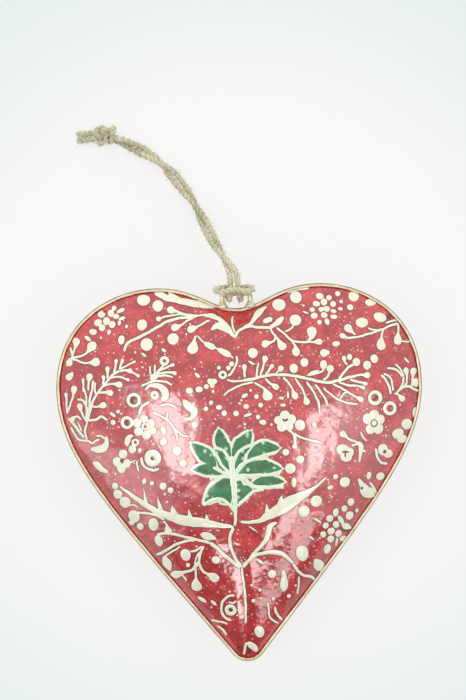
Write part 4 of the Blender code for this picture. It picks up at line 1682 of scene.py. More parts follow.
            (27.9, 50.5, 1.1, .9), (23.9, 48.5, 1.1, .9), (27, 48.6, 1.1, .9), (30, 49.7, 1.0, .6),
            (25.4, 46.4, .75), (27.8, 46.5, .75, 1.0), (30, 48, 1.2, .7), (32.2, 50.4, .8, .5)),
        LEAF: ((.6, 20.7, 30.2, 24.7, 31.7),)},
    "sprig_rim_right": {
        DOT: ((36.7, 54.2, 1.75, 1.5), (35.3, 50.8, 1.1, .9), (31.7, 55.2, .8), (32.6, 52.7, .6),
            (42, 52.2, 1.8, 1.2), (38.7, 45.9, 1.9, 1.5), (44.6, 47.4, 2.0, 1.5), (30.2, 39.6, 1.2, .8),
            (27.4, 37, .7), (34.2, 35.4, .9), (36.3, 33.8, 1.2), (42, 34.6, 1.3), (39.6, 32.7, 1.3),
            (32.5, 35, .7, .9)),
        LINE: ((.4, 50.6, 45.4, 48, 44.8, 45.6, 43.8, 43, 43, 40.5, 42.3, 38, 41.7, 35.4, 41.3, 33.4, 41.4),
            (.35, 50.2, 46.3, 48, 46.1, 46.2, 45.5), (.3, 44.5, 43.4, 42, 43.6, 40.4, 44.3),
            (.3, 51, 39.7, 54, 39.5), (.35, 32.2, 34.6, 33.3, 33),
            (.45, 35.6, 33.2, 33.6, 32.2, 32, 30.5, 30.4, 28.7), (.35, 35.4, 43.2, 36.5, 42.1),
            (.4, 45.8, 31.6, 48, 31.3, 49.8, 30.2, 50.9, 28.6), (.35, 48.6, 32.8, 50.3, 31, 51.4, 28.8)),
        DAB: ((.35, 51.6, 34.7, 53.2, 32.9),),
        DROP: ((1.35, 50.5, 45.2, 50.3, 43.5, 50.1, 42, 49.8, 38.6),
            (1.5, 45.5, 43.6, 44.8, 41.9, 44.5, 40, 44.3, 37.2), (.85, 36, 41.3, 34, 41.4, 31.4, 42.3),
            (1.25, 36.4, 42.2, 35.4, 43.2, 33.2, 45.2), (1.1, 53.9, 26.8, 54.3, 28.6, 54.7, 31.4),
            (.9, 52.2, 27, 52.3, 29, 52.1, 31.6))},
    "long_sprig": {
        LINE: ((.35, -4.8, 25, -3.3, 26.3, -1, 27.4, 1.5, 28.3, 4.4, 28.7),
            (.35, -3.8, 29.8, -1.4, 29.2, 1.6, 29.4),
            (.5, 1, 29.3, 5, 29.9, 8, 30.6, 12, 30.8, 16, 30.4, 20, 29.5, 24, 28.4, 27, 27.9, 30, 28.3,
             33, 29, 36, 29.6), (.4, 20.5, 28.4, 22, 26.1, 23.3, 23.6, 24, 21.5, 24.2, 18.4),
            (.4, 23, 27.5, 24.6, 25.3, 26, 23, 26.8, 21),
            (.35, 25.6, 26.4, 27.5, 24.5, 29.6, 22.9, 31.5, 21.9, 34, 21.2, 36.2, 20.8),
            (.35, 30.6, 22.7, 32, 24.4, 33.4, 24.7), (.45, 14.2, 14.3, 15.7, 13, 16.3, 11.5, 16.2, 9.2),
            (.4, 16, 12.9, 18, 11.7, 20, 10.9, 22, 10.4, 24.5, 9.5)),
        DROP: ((1.45, 4.6, 28.7, 6.3, 27.6, 7.6, 26.5, 9.1, 23.1), (.9, 7.9, 29.8, 9.3, 28.4, 11.9, 26.5),
            (1.0, 13.4, 30.1, 15.2, 27.9, 16.1, 26.2, 17.1, 23.2),
            (1.0, 17, 29.6, 18.7, 26.9, 19.6, 25, 20.5, 21.2),
            (.85, 28.5, 27.4, 31, 26.1, 33.2, 24.7, 35.2, 23.4, 38, 21.9),
            (.6, 34, 28.5, 37, 27.6, 39.5, 26.9), (.6, 30.4, 27.9, 33, 26.9, 36, 26.5, 38.8, 25.8),
            (.95, 34.5, 29.4, 37, 29.8, 40.6, 29.6), (.75, 15.9, 12, 16.3, 10.6, 16.1, 8.1)),
        DAB: ((.6, .6, 24.3, 2.5, 25.3), (.5, 1, 18.6, 3.5, 19.3), (.8, 5.7, 16.8, 7.8, 16.4),
            (.5, 12.2, 21.6, 13.9, 21.5), (.45, 11.8, 23.8, 13.4, 23.6), (.35, 14.7, 25.8, 14.7, 23.5)),
        DOT: ((3.4, 26.3, .4), (5.1, 24.4, .7), (1.9, 21.5, .85, .7), (6.3, 21.8, .7), (5.4, 18.2, .7),
            (1.3, 16.2, .45), (-15.2, 26.8, 1.2, .95), (-12.2, 27.1, 1.1, .95), (-10, 27.9, .75),
            (-8, 26.4, .5), (-14, 22.9, .5), (-10.3, 21.2, .7), (-8.7, 23, .65), (-6.3, 21.5, 1.0, .7),
            (-4.8, 19.7, .85), (-1.2, 19.5, .85), (-8.9, 29.5, .8), (-7.4, 29.4, .8), (-8.2, 28.3, .8),
            (13.5, 18.4, 1.5), (15.4, 17.2, 1.4), (14.6, 15.1, 1.4), (12.4, 15, 1.4), (11.6, 17, 1.4),
            (13.5, 16.7, 1.3), (18, 15.3, 1.6), (13.4, 7.3, 1.05), (17.7, 4.9, 1.3), (14.6, 2.3, 1.6),
            (22.4, 15.3, .8))},
    "flowers_right": {
        RING: ((41.7, 22.6, 2.3, 1.2), (46.4, 19.1, 2.2, 1.1)),
        DOT: ((39.1, 16.2, 1.6), (41.2, 17.3, 1.6), (43, 15.8, 1.6), (42.4, 13, 1.7), (39.9, 13, 1.6),
            (41, 14.8, 1.7), (31, 7.1, 2.1, 1.7), (32.8, 6.2, 1.6), (31.9, 4.8, 1.9, 1.4),
            (54.9, 17.3, 1.1, 1.8), (51.9, 13.8, 1.9, 1.7), (48.9, 11, 2.0, 1.6), (50.4, 9.2, 1.7, 1.3),
            (55.3, 26.7, 1.3), (43.9, 6.3, 1.6, 1.9), (45.5, 5, 1.7, 1.4)),
        LINE: ((.45, 41.4, 7.1, 42, 4.3, 43.2, 2.3, 45.5, 1.8), (.35, 36.7, 12.3, 37.5, 10.7, 38.6, 9.3),
            (.4, 36.7, 7.1, 38.3, 6), (.4, 33.7, 8.1, 35.9, 8.9),
            (.4, 46.8, 23.4, 46.3, 26, 45, 28.5, 43.8, 29.4),
            (.35, 47.5, 24.4, 47.4, 27, 46.5, 29, 44.8, 29.9), (.4, 48.7, 23.6, 50.7, 26.3, 51.3, 28.8),
            (.45, 49.3, 24.3, 51, 25.5, 53, 25.5, 54.7, 24.6, 56.3, 24), (.4, 51.3, 25.6, 52.4, 27.2),
            (.35, 53.8, 25.4, 53.9, 27)),
        RIBBON: ((35.6, 9.4, .5, 36.5, 8.4, .8, 36.8, 7, .75, 36.5, 5.4, .5, 36.1, 2.9, .35),),
        DROP: ((1.0, 36, 9, 34.4, 9.7, 32.9, 10.5, 30.3, 12.7), (1.0, 47.9, 23.6, 49.2, 23.2, 51.2, 21.1))},
    "plant_foot": {
        RIBBON: ((-2.5, -8, .45, -2.4, -10.8, .5, -2.7, -14.6, .4),)},
    "thorn_branches": {
        RIBBON: ((-3, -14.9, .4, -6, -14.5, .7, -9, -14, .95, -13, -13.4, 1.4, -17, -12.9, 1.6,
             -20, -12.2, 1.55, -23, -11.2, 1.2, -26, -10.1, 1.0, -28.5, -8.8, .9, -31, -7.2, .85,
             -33, -5.8, .7, -35.5, -4, .55, -37.9, -2.2, .3),
            (-1, -13.4, .4, 2, -13.6, .5, 5, -13.2, .7, 7, -12, 1.2, 9.5, -10.8, 1.6, 12, -9.5, 1.9,
             14.5, -7.9, 1.9, 17, -6.6, 1.4, 19.5, -5.4, 1.0, 22, -3.9, .45, 25.7, -1, .3),
            (35.6, -2.2, .4, 37, -4.2, .9, 38, -6.2, 1.7, 39.5, -7.5, 1.3, 41.4, -8.5, .5)),
        SPIKE: ((.85, -16.2, -12.2, -16.6, -9.2), (.8, -11, -13, -11.3, -10.7), (1.4, -21, -11.4, -21.7, -8),
            (.8, -25.2, -9.6, -26.1, -5.4), (.7, -29.7, -8.2, -30.3, -2.4), (.8, 7.3, -11.2, 7, -8),
            (1.1, 11.3, -8.6, 11.7, -5.7)),
        LINE: ((.45, -24.2, -12.6, -26.8, -11.1, -30, -10.6, -33.2, -10.4),
            (.3, -35.6, -8.1, -33.5, -8.2, -32.2, -8.8), (.45, 39.3, -3.6, 40.8, -5.4, 41.8, -7.8)),
        DROP: ((1.2, -24.8, -13, -23.6, -14.2, -23, -17.5),),
        DOT: ((-33.9, -11.8, 1.9, 2.1), (-34.9, -14, 1.0, .8), (-36.5, -7.3, 1.8), (-38.7, -4.8, 1.45),
            (-39.4, -2.2, 1.05), (-24.2, -2, 1.1), (-21.9, -3.3, .9), (-27.6, -1.1, .7), (-30, -.5, .7, 1.0),
            (-27.8, -14.2, 1.75, 2.1), (-32.1, -15, 1.1), (22.3, -8.2, 1.9, 1.7), (18.4, -11.1, 1.9),
            (31.4, -2.9, 1.55), (28.5, -1, .8, .7), (26.8, -4.2, 1.0, .65), (39.2, -1.5, .8, 1.2),
            (43, -2.1, 1.5, 1.2), (15.6, -2, .75, 1.5), (38.9, -6.9, 2.2, 1.7))},
    "scrolls": {
        LINE: ((.55, -3.2, -15.2, -4.2, -17.5, -4.4, -20, -3.8, -22.5, -2.6, -25.3, -1.1, -27.6),
            (.5, -27, -17.7, -25, -17, -22, -17, -19, -17.7, -16, -18.4, -13, -19.2, -10.4, -19.8),
            (.65, -10.6, -19.7, -8.5, -21.3, -6.6, -23.4, -3.9, -25.8, -1.6, -27.8),
            (.5, -27.6, -24.3, -25, -23, -22.5, -21.3, -20, -20, -17.4, -19.2, -15, -18.9),
            (.35, -25, -24.6, -22, -22.6, -19.6, -21),
            (.45, -12.5, -20.8, -13.7, -23.5, -14.1, -26, -13.4, -28.4, -12.2, -29.9),
            (.4, -13, -20.9, -15, -22.3, -16.9, -22.6), (.3, -12.6, -21.5, -14.6, -24, -15.6, -26.9),
            (.35, -19.6, -30.5, -18.2, -32.4), (.25, 1.7, -15, 3.7, -16.4),
            (.5, 14.8, -27.6, 16.5, -30.5, 18.5, -32, 20.5, -32.7, 21.9, -34.2),
            (.4, -1.1, -27.7, -.9, -30, -.4, -35, -.2, -40, -.4, -46), (.35, 16.6, -32, 16.4, -35, 16, -38)),
        RIBBON: ((10, -14, .35, 7.9, -15.2, .85, 7.3, -17.4, .8, 6.7, -19, .7, 5.2, -21, .6, 3, -23.2, .5,
             1, -25.7, .45, -.7, -27.6, .6),
            (-.6, -27.2, .5, 1.7, -25.1, .45, 4, -23.8, .5, 7, -23.4, .6, 10, -23.6, .75, 12.4, -24.9, .6,
             14.8, -27.6, .4),
            (-23.4, -31, .7, -21.6, -30.5, 1.3, -19, -29.6, .5, -16.5, -28.7, .45, -15, -27.2, .55,
             -14, -25.6, .4), (11.6, -29.4, .5, 11.9, -32, .9, 11.8, -34.5, 1.3, 11.5, -36.4, .6)),
        LEAF: ((1.25, -13.4, -17, -8.5, -18.5), (1.4, -25.2, -24.5, -23.2, -29.5)),
        DROP: ((1.65, -15.2, -27.2, -15.3, -30.5, -15.3, -35.8),
            (1.5, -14, -26.5, -13.2, -28.8, -11.5, -29.9, -8.3, -31.8)),
        DAB: ((.45, 3.5, -25.2, 5.6, -27),),
        DOT: ((-26.4, -19.5, 1.35, 1.85), (-18.2, -23.8, 1.6, 2.0), (-17.6, -27.1, .7),
            (-8.9, -25.3, 1.4, 1.2))},
    "seeds_lower_right": {
        DOT: ((25.7, -24, 1.25, 1.6), (17.7, -24.5, 1.85, 2.5), (8.2, -30.4, 1.3), (8.4, -38.5, .5),
            (1.7, -33.5, .4), (13.3, -38.2, .6), (2.2, -38.6, .6), (4.5, -38, .4), (4.3, -35.3, .5),
            (33.3, -9.4, 1.2), (31.2, -11.3, 1.0), (28.4, -12.3, .9, 1.3), (32.9, -13.8, 1.3),
            (35.3, -12.4, .6), (26.5, -14, 1.1), (28.5, -16.2, 1.1), (25.2, -16.2, 1.0), (26.9, -18.2, 1.2),
            (24.4, -19, 1.0), (29.3, -19.3, 1.1), (26.8, -20.8, 1.1), (31, -21.3, 1.3, .9)),
        LEAF: ((1.6, 21.6, -26.9, 22.9, -29, 24.4, -31.6), (1.0, 30.2, -16.4, 33.7, -18.2)),
        DAB: ((.75, 29.2, -13.4, 31, -16.4), (.35, 21.2, -13.2, 23.9, -15.2),
            (.35, 19.7, -18.9, 21.5, -20.5)),
        LINE: ((.45, 28.9, -20.6, 28.6, -23.3),)},
    "tip_bud": {
        DOT: ((3.8, -49, 1.55, 1.9),),
        DAB: ((.6, -15.1, -37.6, -12.3, -39.3), (.5, -11, -38.6, -9.3, -40.1)),
        RING: ((-4.9, -41.5, 1.85, .7),),
        LINE: ((.45, -3.4, -36.6, -5.4, -37, -7, -38.4, -7.8, -40.8, -7.5, -43, -6.4, -44.4, -4.7, -45),
            (.35, -5.5, -39, -4.1, -39.2, -3, -38.5), (.4, -11.2, -45.3, -8.5, -45.6, -6, -46.2),
            (.45, -9.3, -47, -7.4, -48.6, -6.4, -50.2), (.45, 8.7, -41.2, 9.3, -43.5, 11, -46.1),
            (.35, 6.7, -39.6, 6.9, -43, 7.4, -45, 9.9, -47.1), (.45, -.3, -52.2, -.9, -54.2, -1.2, -56.6)),
        RIBBON: ((-.3, -52.3, .5, .9, -53.2, .95, 2.2, -54.4, .95, 2.7, -55.8, .5),)},
}
LEAF_SHEET = {
    LEAF: ((2.0, -3.5, 5.9, -5.8, 10.3, -6.7, 15.1), (2.35, -2.7, 5.6, .4, 10.1, 3.2, 14.1),
        (2.1, 1.7, 5.3, 6.5, 8.6, 11.6, 8.7), (2.25, -1.2, 1.4, 5.3, 3, 12.1, 2.4),
        (1.55, 2.7, -1.9, 7.5, -1.1, 12.8, -1.6), (1.0, -2.4, 2.3, -.8, 4.8, .9, 7.5),
        (1.5, -3.9, 1.3, -6.1, 5.2, -7.9, 8.9), (2.0, -7.8, 3.5, -11, 7.3, -15.1, 10.9),
        (1.6, -6, .8, -10.1, 2.8, -15, 3), (2.3, -3.8, .1, -7.4, -3.2, -11.5, -7.4),
        (1.7, -4.3, .5, -4.6, -3.3, -4, -7.7), (2.0, -3.8, -7.6, -6.6, -4.4, -9.3, -3.1),
        (1.35, -1.6, -.1, -1.7, -4.3, -1.9, -8.4), (1.9, -1.7, -6.9, .4, -4, 3.1, -3.9),
        (1.0, -1.6, -.2, -.5, -2.9, .9, -3), (.9, -7.4, -.9, -5.6, -1.4, -4.3, -3.3))}
RIB_SHEET = {
    RIBBON: ((-2.9, 6.8, .4, -2.9, 3.2, .6, -2.8, .4, .75, -2.5, -4.3, .65, -2.5, -8, .5, -2.5, -10.8, .4),),
    LINE: ((.3, -3.3, 5.1, -5.3, 8.2, -8.2, 9.7), (.35, -2.7, 5.1, -.1, 8.5, 4.1, 10.2),
        (.35, -2.6, 1.1, .7, 4.5, 6.8, 6.5, 10.6, 7.4), (.35, -2.6, .8, 2.9, .7, 8.5, .7, 11.7, 1.2),
        (.3, -3.2, .8, -6, 1.9, -8.7, 3.6), (.35, -3.2, .4, -6, .6, -9, .6),
        (.3, -3.4, 1.3, -5.9, 3.8, -8, 8), (.45, -2.3, -.6, .5, -.2, 2.8, -2.4, 6.5, -3.1, 12.5, -3),
        (.3, -1.7, -8.5, .8, -6.3, 3.2, -4.3, 6.5, -3.6),
        (.35, -12.2, -8, -8.9, -6.3, -6.4, -6.3, -4, -8.2, -2.5, -10.1),
        (.3, -3.2, .4, -5.5, .6, -7.9, -.7, -10.3, -2.7, -11.7, -5.4, -12.2, -8))}
MARK_SHEET = {
    DOT: ((-41.2, 52.1, .45), (-4.9, 31.3, .4), (-36.8, 5.8, .6), (-32.5, 24.4, 1.0), (-34.7, 17.6, .8),
        (-27.1, 6.6, .5), (44.4, 5.7, .55), (47.5, 47.6, .8), (32.3, 22.9, .5), (.4, -55.6, .5),
        (36.9, -5.3, .45), (-4.9, -41.5, .5)),
    RING: ((41.1, 14.8, 1.2, .85),),
    LINE: ((.35, -23, 58.0, -21, 56.7), (.35, 30.6, 6.6, 32.9, 6.4), (.3, 31.7, 6.4, 31.7, 4.8),
        (.35, 12.7, 17.4, 13.6, 16.9, 14.4, 17.5), (.35, 29.8, -17.2, 31.4, -18.8, 33.4, -18.9),
        (.35, -3.4, -54, -2, -54.3), (.35, 41, 21.8, 42.6, 23))}


@dataclass
class Painter:
    """The folk plants, brushed on the front from the sheets and on the back turned over."""

    form: HeartForm = FORM
    step: float = 0.36
    waver: float = 0.07
    unevenness: float = 0.08
    speck_count: int = 860
    speck_field: tuple = ((-55.0, -56.0), (55.0, 58.0))
    speck_margin: float = 0.004
    speck_gap: float = 0.12
    smallest_speck: float = 0.13
    speck_growth: float = 0.28
    soft: float = 0.8
    stalk: float = 0.33
    thin: float = 0.86
    swelling: float = 2.0
    ring_turn: float = TURN * 1.03
    ring_points: int = 30
    ring_unevenness: float = 0.1
    leaf_power: float = 0.75
    leaf_widths: tuple = (1.15, 0.85)
    dab_widths: tuple = (0.92, 1.08)
    spike_power: float = 0.8
    drop_unevenness: float = 0.06
    stalk_share: float = 0.6
    foot_run: float = 1.2
    dot_lean: float = 0.3
    dot_swell: float = 0.06
    end_run: float = 1.2
    shortest_end: float = 0.15
    nudge: float = 0.0001
    steepest: float = 4.0
    crease: float = 80.0
    seed: int = 7
    rng: np.random.Generator = field(init=False)

    def __post_init__(self) -> None:
        """Starts the seeded source."""
        self.rng = np.random.default_rng(self.seed)

    def stroke(self, touch: Touch, row: tuple) -> tuple[Array, Array]:
        """Turns one row of a sheet into a path and its half widths.

        Args:
            touch: The kind of mark.
            row: Its numbers.

        Returns:
            The path's rows of x and y, and the half width at each, in mm.
        """
        if touch is DOT:
            return self.dot(*row)
        if touch is RING:
            x, y, outer, inner = row
            turn = np.linspace(0.0, self.ring_turn, self.ring_points) + self.rng.uniform(0.0, 6.0)
            reach = (outer + inner) / 2
            path = np.column_stack([x + reach * np.cos(turn), y + reach * np.sin(turn)])
            uneven = 1.0 + self.ring_unevenness * ripple(len(path), self.rng, 1.0)
            return path, np.full(len(path), (outer - inner) / 2) * uneven
        if touch is RIBBON:
            rows = eased(np.array(row, float).reshape(-1, 3), self.step, 2)
            return self.hand(rows[:, :2]), rows[:, 2] * self.ends(rows[:, :2], rows[:, 2])
        path = np.array(row[1:], float).reshape(-1, 2)
        path = eased(path, min(self.step, run_lengths(path)[-1] / 10.0), 2)
        run = run_lengths(path)
        t = run / run[-1]
        waves = max(1.0, run[-1] / 5.0)
        width = row[0] * (1.0 + self.unevenness * ripple(len(path), self.rng, waves))
        if touch is LINE:
            return self.hand(path), self.thin * width * self.ends(path, width)
        if touch is LEAF:
            return path, width * np.sin(math.pi * t) ** self.leaf_power * widths(self.leaf_widths, t)
        if touch is DAB:
            return path, width * rounded(2 * t - 1) * widths(self.dab_widths, t)
        if touch is SPIKE:
            return path, width * (1.0 - t) ** self.spike_power
        path = self.hand(path)
        uneven = 1.0 + self.drop_unevenness * ripple(len(path), self.rng, waves)
        return path, self.drop(run, row[0]) * uneven

    def drop(self, run: Array, head: float) -> Array:
        """The half widths of a thin stalk that swells into a round head.

        Args:
            run: The length run at each point of its path.
            head: The head's half width.

        Returns:
            The half widths.
        """
        stalk = min(self.stalk, self.stalk_share * head)
        left = run[-1] - run
        swell = 0.5 + 0.5 * np.cos(math.pi * clamped((left / head - 1.0) / self.swelling))
        nose = rounded(clamped(1.0 - left / head))
        foot = np.sqrt(clamped(run / (self.foot_run * stalk)))
        return (stalk + (head - stalk) * swell) * nose * foot

    def dot(self, x: float, y: float, wide: float, tall: float = 0.0) -> tuple[Array, Array]:
        """A round or oval touch, never quite true.

        Args:
            x: Its middle.
            y: Its middle.
            wide: Its radius, or half its width.
            tall: Half its height where it is an oval.

        Returns:
            Its path and half widths.
        """
        tall = tall or wide
        wide, tall = wide * self.rng.uniform(0.93, 1.05), tall * self.rng.uniform(0.95, 1.07)
        lean = self.rng.uniform(-self.dot_lean, self.dot_lean)
        way = np.array((math.sin(lean), math.cos(lean)))
        share = -np.cos(np.linspace(0.0, math.pi, 11 if tall > 0.5 else 7))
        path = np.array((x, y)) + way * tall * share[:, None]
        return path, wide * rounded(share) * (1.0 + self.dot_swell * share)

    def ends(self, path: Array, width: Array) -> Array:
        """How a line's ends round off.

        Args:
            path: Its points.
            width: Its half widths.

        Returns:
            A factor from 0 at the ends to 1.
        """
        run = run_lengths(path)
        near = np.minimum(run, run[-1] - run) / np.maximum(width * self.end_run, self.shortest_end)
        return rounded(1.0 - np.minimum(near, 1.0))

    def hand(self, path: Array) -> Array:
        """Lets a line waver as a hand does."""
        waves = max(1.0, run_lengths(path)[-1] / 4.0)
        return path + self.waver * np.column_stack([ripple(len(path), self.rng, waves) for _ in range(2)])

    def strokes(self, sheet: dict) -> list[tuple[Array, Array]]:
        """All the strokes of one sheet."""
        return [self.stroke(touch, row) for touch, rows in sheet.items() for row in rows]

    def lay(self, name: str, strokes: list, coat: Coat) -> Piece:
        """Lays one coat of strokes on the front.

        Args:
            name: The piece's name.
            strokes: Its strokes.
            coat: Its paint and thickness.

        Returns:
            The painted piece.
        """
        raised = []
        for path, width in strokes:
            path, width = self.spread(path, width, coat.spread)
            raised.append((np.column_stack([path, np.zeros(len(path))]) * MM, width * MM))
        piece = drawn(name, raised)
        places = corners(piece)
        flat, rough = self.form.within(places[:, :2]), places[:, 2] / MM
        places[:, :2] = flat
        height = self.form.surface(flat)
        rises = (self.form.surface(flat + way) - height for way in ((self.nudge, 0.0), (0.0, self.nudge)))
        slope = np.hypot(*rises) / self.nudge
        stand = coat.lift + coat.relief * rough / (1.0 + np.abs(rough) / self.soft)
        slant = np.minimum(np.sqrt(1.0 + slope ** 2), self.steepest)
        places[:, 2] = self.form.seam + height + stand * MM * slant
        place(piece, places)
        smooth(piece, self.crease)
        self.settle(piece, coat)
        back = copied(piece, name + "_back")
        turned_over(back, self.form.seam)
        self.settle(back, coat)
        return piece

    @staticmethod
    def spread(path: Array, width: Array, more: float) -> tuple[Array, Array]:
        """Widens a stroke; a wide spread goes round its ends too, and a narrow one keeps their points.

        Args:
            path: Its points.
            width: Its half widths.
            more: How much wider.

        Returns:
            The points and the half widths.
        """
        if more < 0.5:
            return path, width + more * clamped(width / 0.2)
        start, end = path[0] - path[1], path[-1] - path[-2]
        start, end = start / np.linalg.norm(start) * more, end / np.linalg.norm(end) * more
        wide = width + more * (0.6 + 0.4 * clamped(width / 0.3))
        return np.vstack([path[:1] + start, path, path[-1:] + end]), np.concatenate([[0.0], wide, [0.0]])

    @staticmethod
    def settle(piece: Piece, coat: Coat) -> None:
        """Dresses a coat and fixes it to the heart.

        Args:
            piece: The painted piece.
            coat: Its coat.
        """
        dress(piece, coat.paint)
        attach(piece, HEART_BODY)

    def specks(self, strokes: list) -> list[tuple[Array, Array]]:
        """Strews small specks between the strokes.

        Args:
            strokes: The strokes that they keep clear of.

        Returns:
            The specks.
        """
        taken = np.vstack([np.column_stack([path, width]) for path, width in strokes])
        outline = self.form.inset(self.form.outline(), self.speck_margin) / MM
        found = []
        while len(found) < self.speck_count:
            spot = self.rng.uniform(*self.speck_field)
            share = self.rng.uniform(0.0, 1.0)
            size = self.smallest_speck + self.speck_growth * share ** 3
            clear = np.hypot(*(taken[:, :2] - spot).T) - taken[:, 2]
            if clear.min() > size + self.speck_gap and self.inside(spot, outline):
                found.append(self.dot(spot[0], spot[1], size))
        return found

    @staticmethod
    def inside(spot: Array, outline: Array) -> bool:
        """Whether a point lies in an outline.

        Args:
            spot: Its x and y.
            outline: The outline's points.

        Returns:
            True inside.
        """
        ahead = np.roll(outline, -1, 0)
        spans = (outline[:, 1] > spot[1]) != (ahead[:, 1] > spot[1])
        share = (spot[1] - outline[spans, 1]) / (ahead[spans, 1] - outline[spans, 1])
        beyond = outline[spans, 0] + share * (ahead[spans, 0] - outline[spans, 0]) > spot[0]
        return int(beyond.sum()) % 2 == 1

    def build(self) -> None:
        """Paints both sides."""
        leaves = self.strokes(LEAF_SHEET)
        everything = list(leaves)
        for name, sheet in SHEETS.items():
            strokes = self.strokes(sheet)
            everything += strokes
            self.lay("cream_" + name, strokes, BRUSHED)
            # Each cream stroke gets a painted shadow round it
            self.lay("painted_shadow_" + name, strokes, STROKE_SHADOW)
            LOG.info("painted %s: %d strokes", name, len(strokes))
        self.lay("cream_leaf_ground", leaves, GROUND)
        self.lay("green_leaves", leaves, LEAVES)
        self.lay("mint_ribs", self.strokes(RIB_SHEET), RIBS)
        self.lay("brown_marks", self.strokes(MARK_SHEET), MARKS)
        specks = self.specks(everything)
        self.lay("cream_specks", specks[::3], CREAM_SPECKS)
        self.lay("rose_specks", specks[1::3] + specks[2::3], SPECKS)


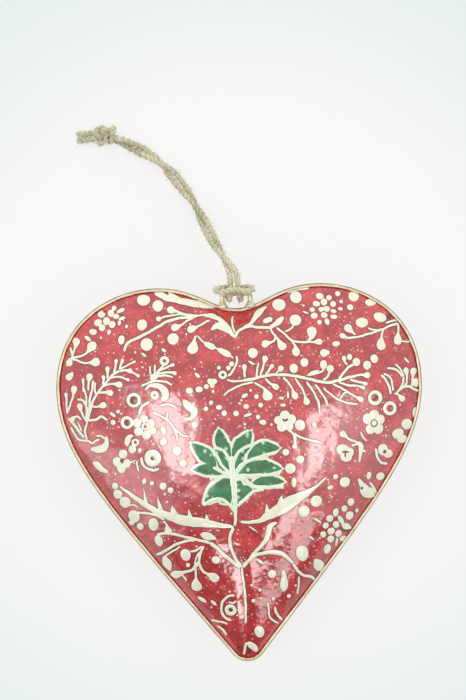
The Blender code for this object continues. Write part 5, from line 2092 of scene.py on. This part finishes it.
@dataclass
class Studio:
    """The camera of the picture, a pale table and soft light from both sides and the room.

    A lamp has its angles in degrees from straight up and round from +X, its width, height and radiance,
    and whether dull surfaces see it. A wall ramps up between two directions on X to its brightness.
    """

    aim: tuple = (-0.00153, 0.03873, 0.0175)
    distance: float = 0.5
    roll: float = math.radians(-1.9)
    frame_height: float = 0.2193
    table: tuple = (0.958, 0.960, 0.955, 1.0)
    # Painted shade: the table darkens and cools away from the heart, a painted fall-off of light towards the
    # corners
    table_corner_shade: tuple = (0.80, 0.88, 0.86, 1.0)
    table_glow: float = 0.77
    table_size: float = 6.0
    table_drop: float = 0.0003
    table_middle: tuple = (0.0, 0.035, 0.0)
    table_shade_reach: tuple = (0.075, 0.155)
    backdrop: tuple = (0.80, 0.85, 0.84, 1.0)
    left_wall: tuple = (-0.45, -0.80, 1.50)
    right_wall: tuple = (0.45, 0.80, 0.70)
    wall_ends: tuple = ((-0.71, -0.62), (-0.12, -0.38))
    room_reach: tuple = (-0.75, -0.10)
    room_level: tuple = (0.75, 0.25)
    soft_reach: tuple = (-0.9, 0.9)
    soft_level: tuple = (0.70, 0.42)
    film: float = 24.0
    lamp_distance: float = 0.75
    lamps: tuple = (
        ("left_core", 26.0, 175.0, 0.44, 0.28, 4.3, False),
        ("left_veil", 27.0, 180.0, 0.54, 0.48, 1.0, True),
        ("right_core", 34.0, -1.0, 0.26, 0.21, 3.8, False),
        ("right_middle", 37.0, -25.0, 0.18, 0.16, 3.6, False),
        ("right_low", 47.0, -53.0, 0.24, 0.16, 4.6, False),
        ("right_foot", 64.0, -49.0, 0.17, 0.28, 2.8, False),
        ("right_veil", 38.0, -9.0, 0.46, 0.50, 0.9, True),
        ("ridge_streak", 50.0, -109.0, 0.18, 0.18, 6.6, False))

    def build(self) -> None:
        """Sets up the camera, the table, the world and the lamps."""
        self.camera()
        self.floor()
        self.world()
        for name, zenith, azimuth, wide, tall, radiance, diffuse in self.lamps:
            lamp = self.lamp(name, math.radians(zenith), math.radians(azimuth), wide, tall, radiance)
            lamp.visible_diffuse = diffuse
        bpy.context.scene.view_settings.view_transform = "Standard"

    def camera(self) -> None:
        """Looks straight down, turned as the picture is."""
        lens = bpy.data.cameras.new("camera")
        lens.sensor_fit = "VERTICAL"
        lens.sensor_height = self.film
        lens.lens = self.film * self.distance / self.frame_height
        lens.clip_start = 0.01
        camera = bpy.data.objects.new("camera", lens)
        bpy.context.scene.collection.objects.link(camera)
        camera.location = (self.aim[0], self.aim[1], self.aim[2] + self.distance)
        camera.rotation_euler = (0.0, 0.0, self.roll)
        bpy.context.scene.camera = camera

    def floor(self) -> None:
        """Lays the pale table."""
        floor = added(bpy.ops.mesh.primitive_plane_add, "table", size=self.table_size,
                      location=(0.0, 0.0, -self.table_drop))
        made = bpy.data.materials.new("table_white")
        made.use_nodes = True
        shader = made.node_tree.nodes["Principled BSDF"]
        shade = Shade(made.node_tree)
        away = shade.fed("VectorMath", {"operation": "DISTANCE"}, shade.place(), self.table_middle)
        # Painted shade: the table's colour darkens with distance from the heart
        colour = shade.mix(shade.ramp(away.outputs["Value"], *self.table_shade_reach), self.table, self.table_corner_shade)
        shade.put(shader, "Base Color", colour)
        shader.inputs["Roughness"].default_value = 0.7
        shader.inputs["Specular IOR Level"].default_value = 0.2
        path = shade.add("LightPath")
        seen = shade.math("MAXIMUM", path.outputs["Is Camera Ray"], path.outputs["Is Glossy Ray"])
        glow = shade.add("Emission", Color=colour).outputs[0]
        blend = shade.fed("MixShader", {}, shade.times(seen, self.table_glow), shader.outputs[0], glow)
        made.node_tree.links.new(blend.outputs[0], made.node_tree.nodes["Material Output"].inputs["Surface"])
        floor.data.materials.append(made)

    def world(self) -> None:
        """A plain room: brighter behind the heart's notch, darker past its tip, pale where it is seen."""
        world = bpy.data.worlds.new("room")
        bpy.context.scene.world = world
        world.use_nodes = True
        shade = Shade(world.node_tree)
        back = world.node_tree.nodes["Background"]
        way = shade.add("SeparateXYZ", Vector=shade.place("Generated"))
        x, y = way.outputs[0], way.outputs[1]
        left, right = (shade.times(shade.ramp(x, near, far), bright)
                       for near, far, bright in (self.left_wall, self.right_wall))
        stretch = shade.times(*(shade.ramp(y, *end) for end in self.wall_ends))
        room = shade.scaled(shade.ramp(y, *self.room_reach), *self.room_level)
        shown = shade.grey(shade.plus(shade.times(shade.plus(left, right), stretch), room))
        even = shade.grey(shade.scaled(shade.ramp(y, *self.soft_reach), *self.soft_level))
        path = shade.add("LightPath")
        seen = shade.math("MAXIMUM", path.outputs["Is Glossy Ray"], path.outputs["Is Transmission Ray"])
        colour = shade.mix(path.outputs["Is Camera Ray"], shade.mix(seen, even, shown), self.backdrop)
        shade.put(back, "Color", colour)

    def lamp(self, name: str, zenith: float, azimuth: float, wide: float, tall: float,
             radiance: float) -> Piece:
        """Hangs one soft lamp that faces the heart.

        Args:
            name: The lamp's name.
            zenith: Its angle from straight up.
            azimuth: Its direction round the heart from +X.
            wide: Its width.
            tall: Its height.
            radiance: How bright it is to look at.

        Returns:
            The lamp.
        """
        light = bpy.data.lights.new(name, "AREA")
        light.shape = "ELLIPSE"
        light.size, light.size_y = wide, tall
        light.energy = radiance * math.pi * wide * tall * math.pi / 4.0
        lamp = bpy.data.objects.new(name, light)
        bpy.context.scene.collection.objects.link(lamp)
        flat = math.sin(zenith)
        way = Vector((flat * math.cos(azimuth), flat * math.sin(azimuth), math.cos(zenith)))
        lamp.location = way * self.lamp_distance
        lamp.rotation_euler = way.to_track_quat("Z", "Y").to_euler()
        lamp.visible_camera = False
        return lamp


def main() -> None:
    """Builds the studio and then each part of the heart in order, and reports each piece."""
    logging.basicConfig(level=logging.INFO, format="%(name)s: %(message)s")
    for assembly in (Studio(), Twine(), Shells(), Edging(), Eye(), Painter()):
        assembly.build()
    nodes = {node.name for node in FRAME["nodes"].values()}
    for piece in bpy.context.scene.objects:
        if piece.type == "MESH" and piece.name not in nodes:
            LOG.info("%s: %d faces", piece.name, len(piece.data.polygons))


if __name__ == "__main__":
    main()
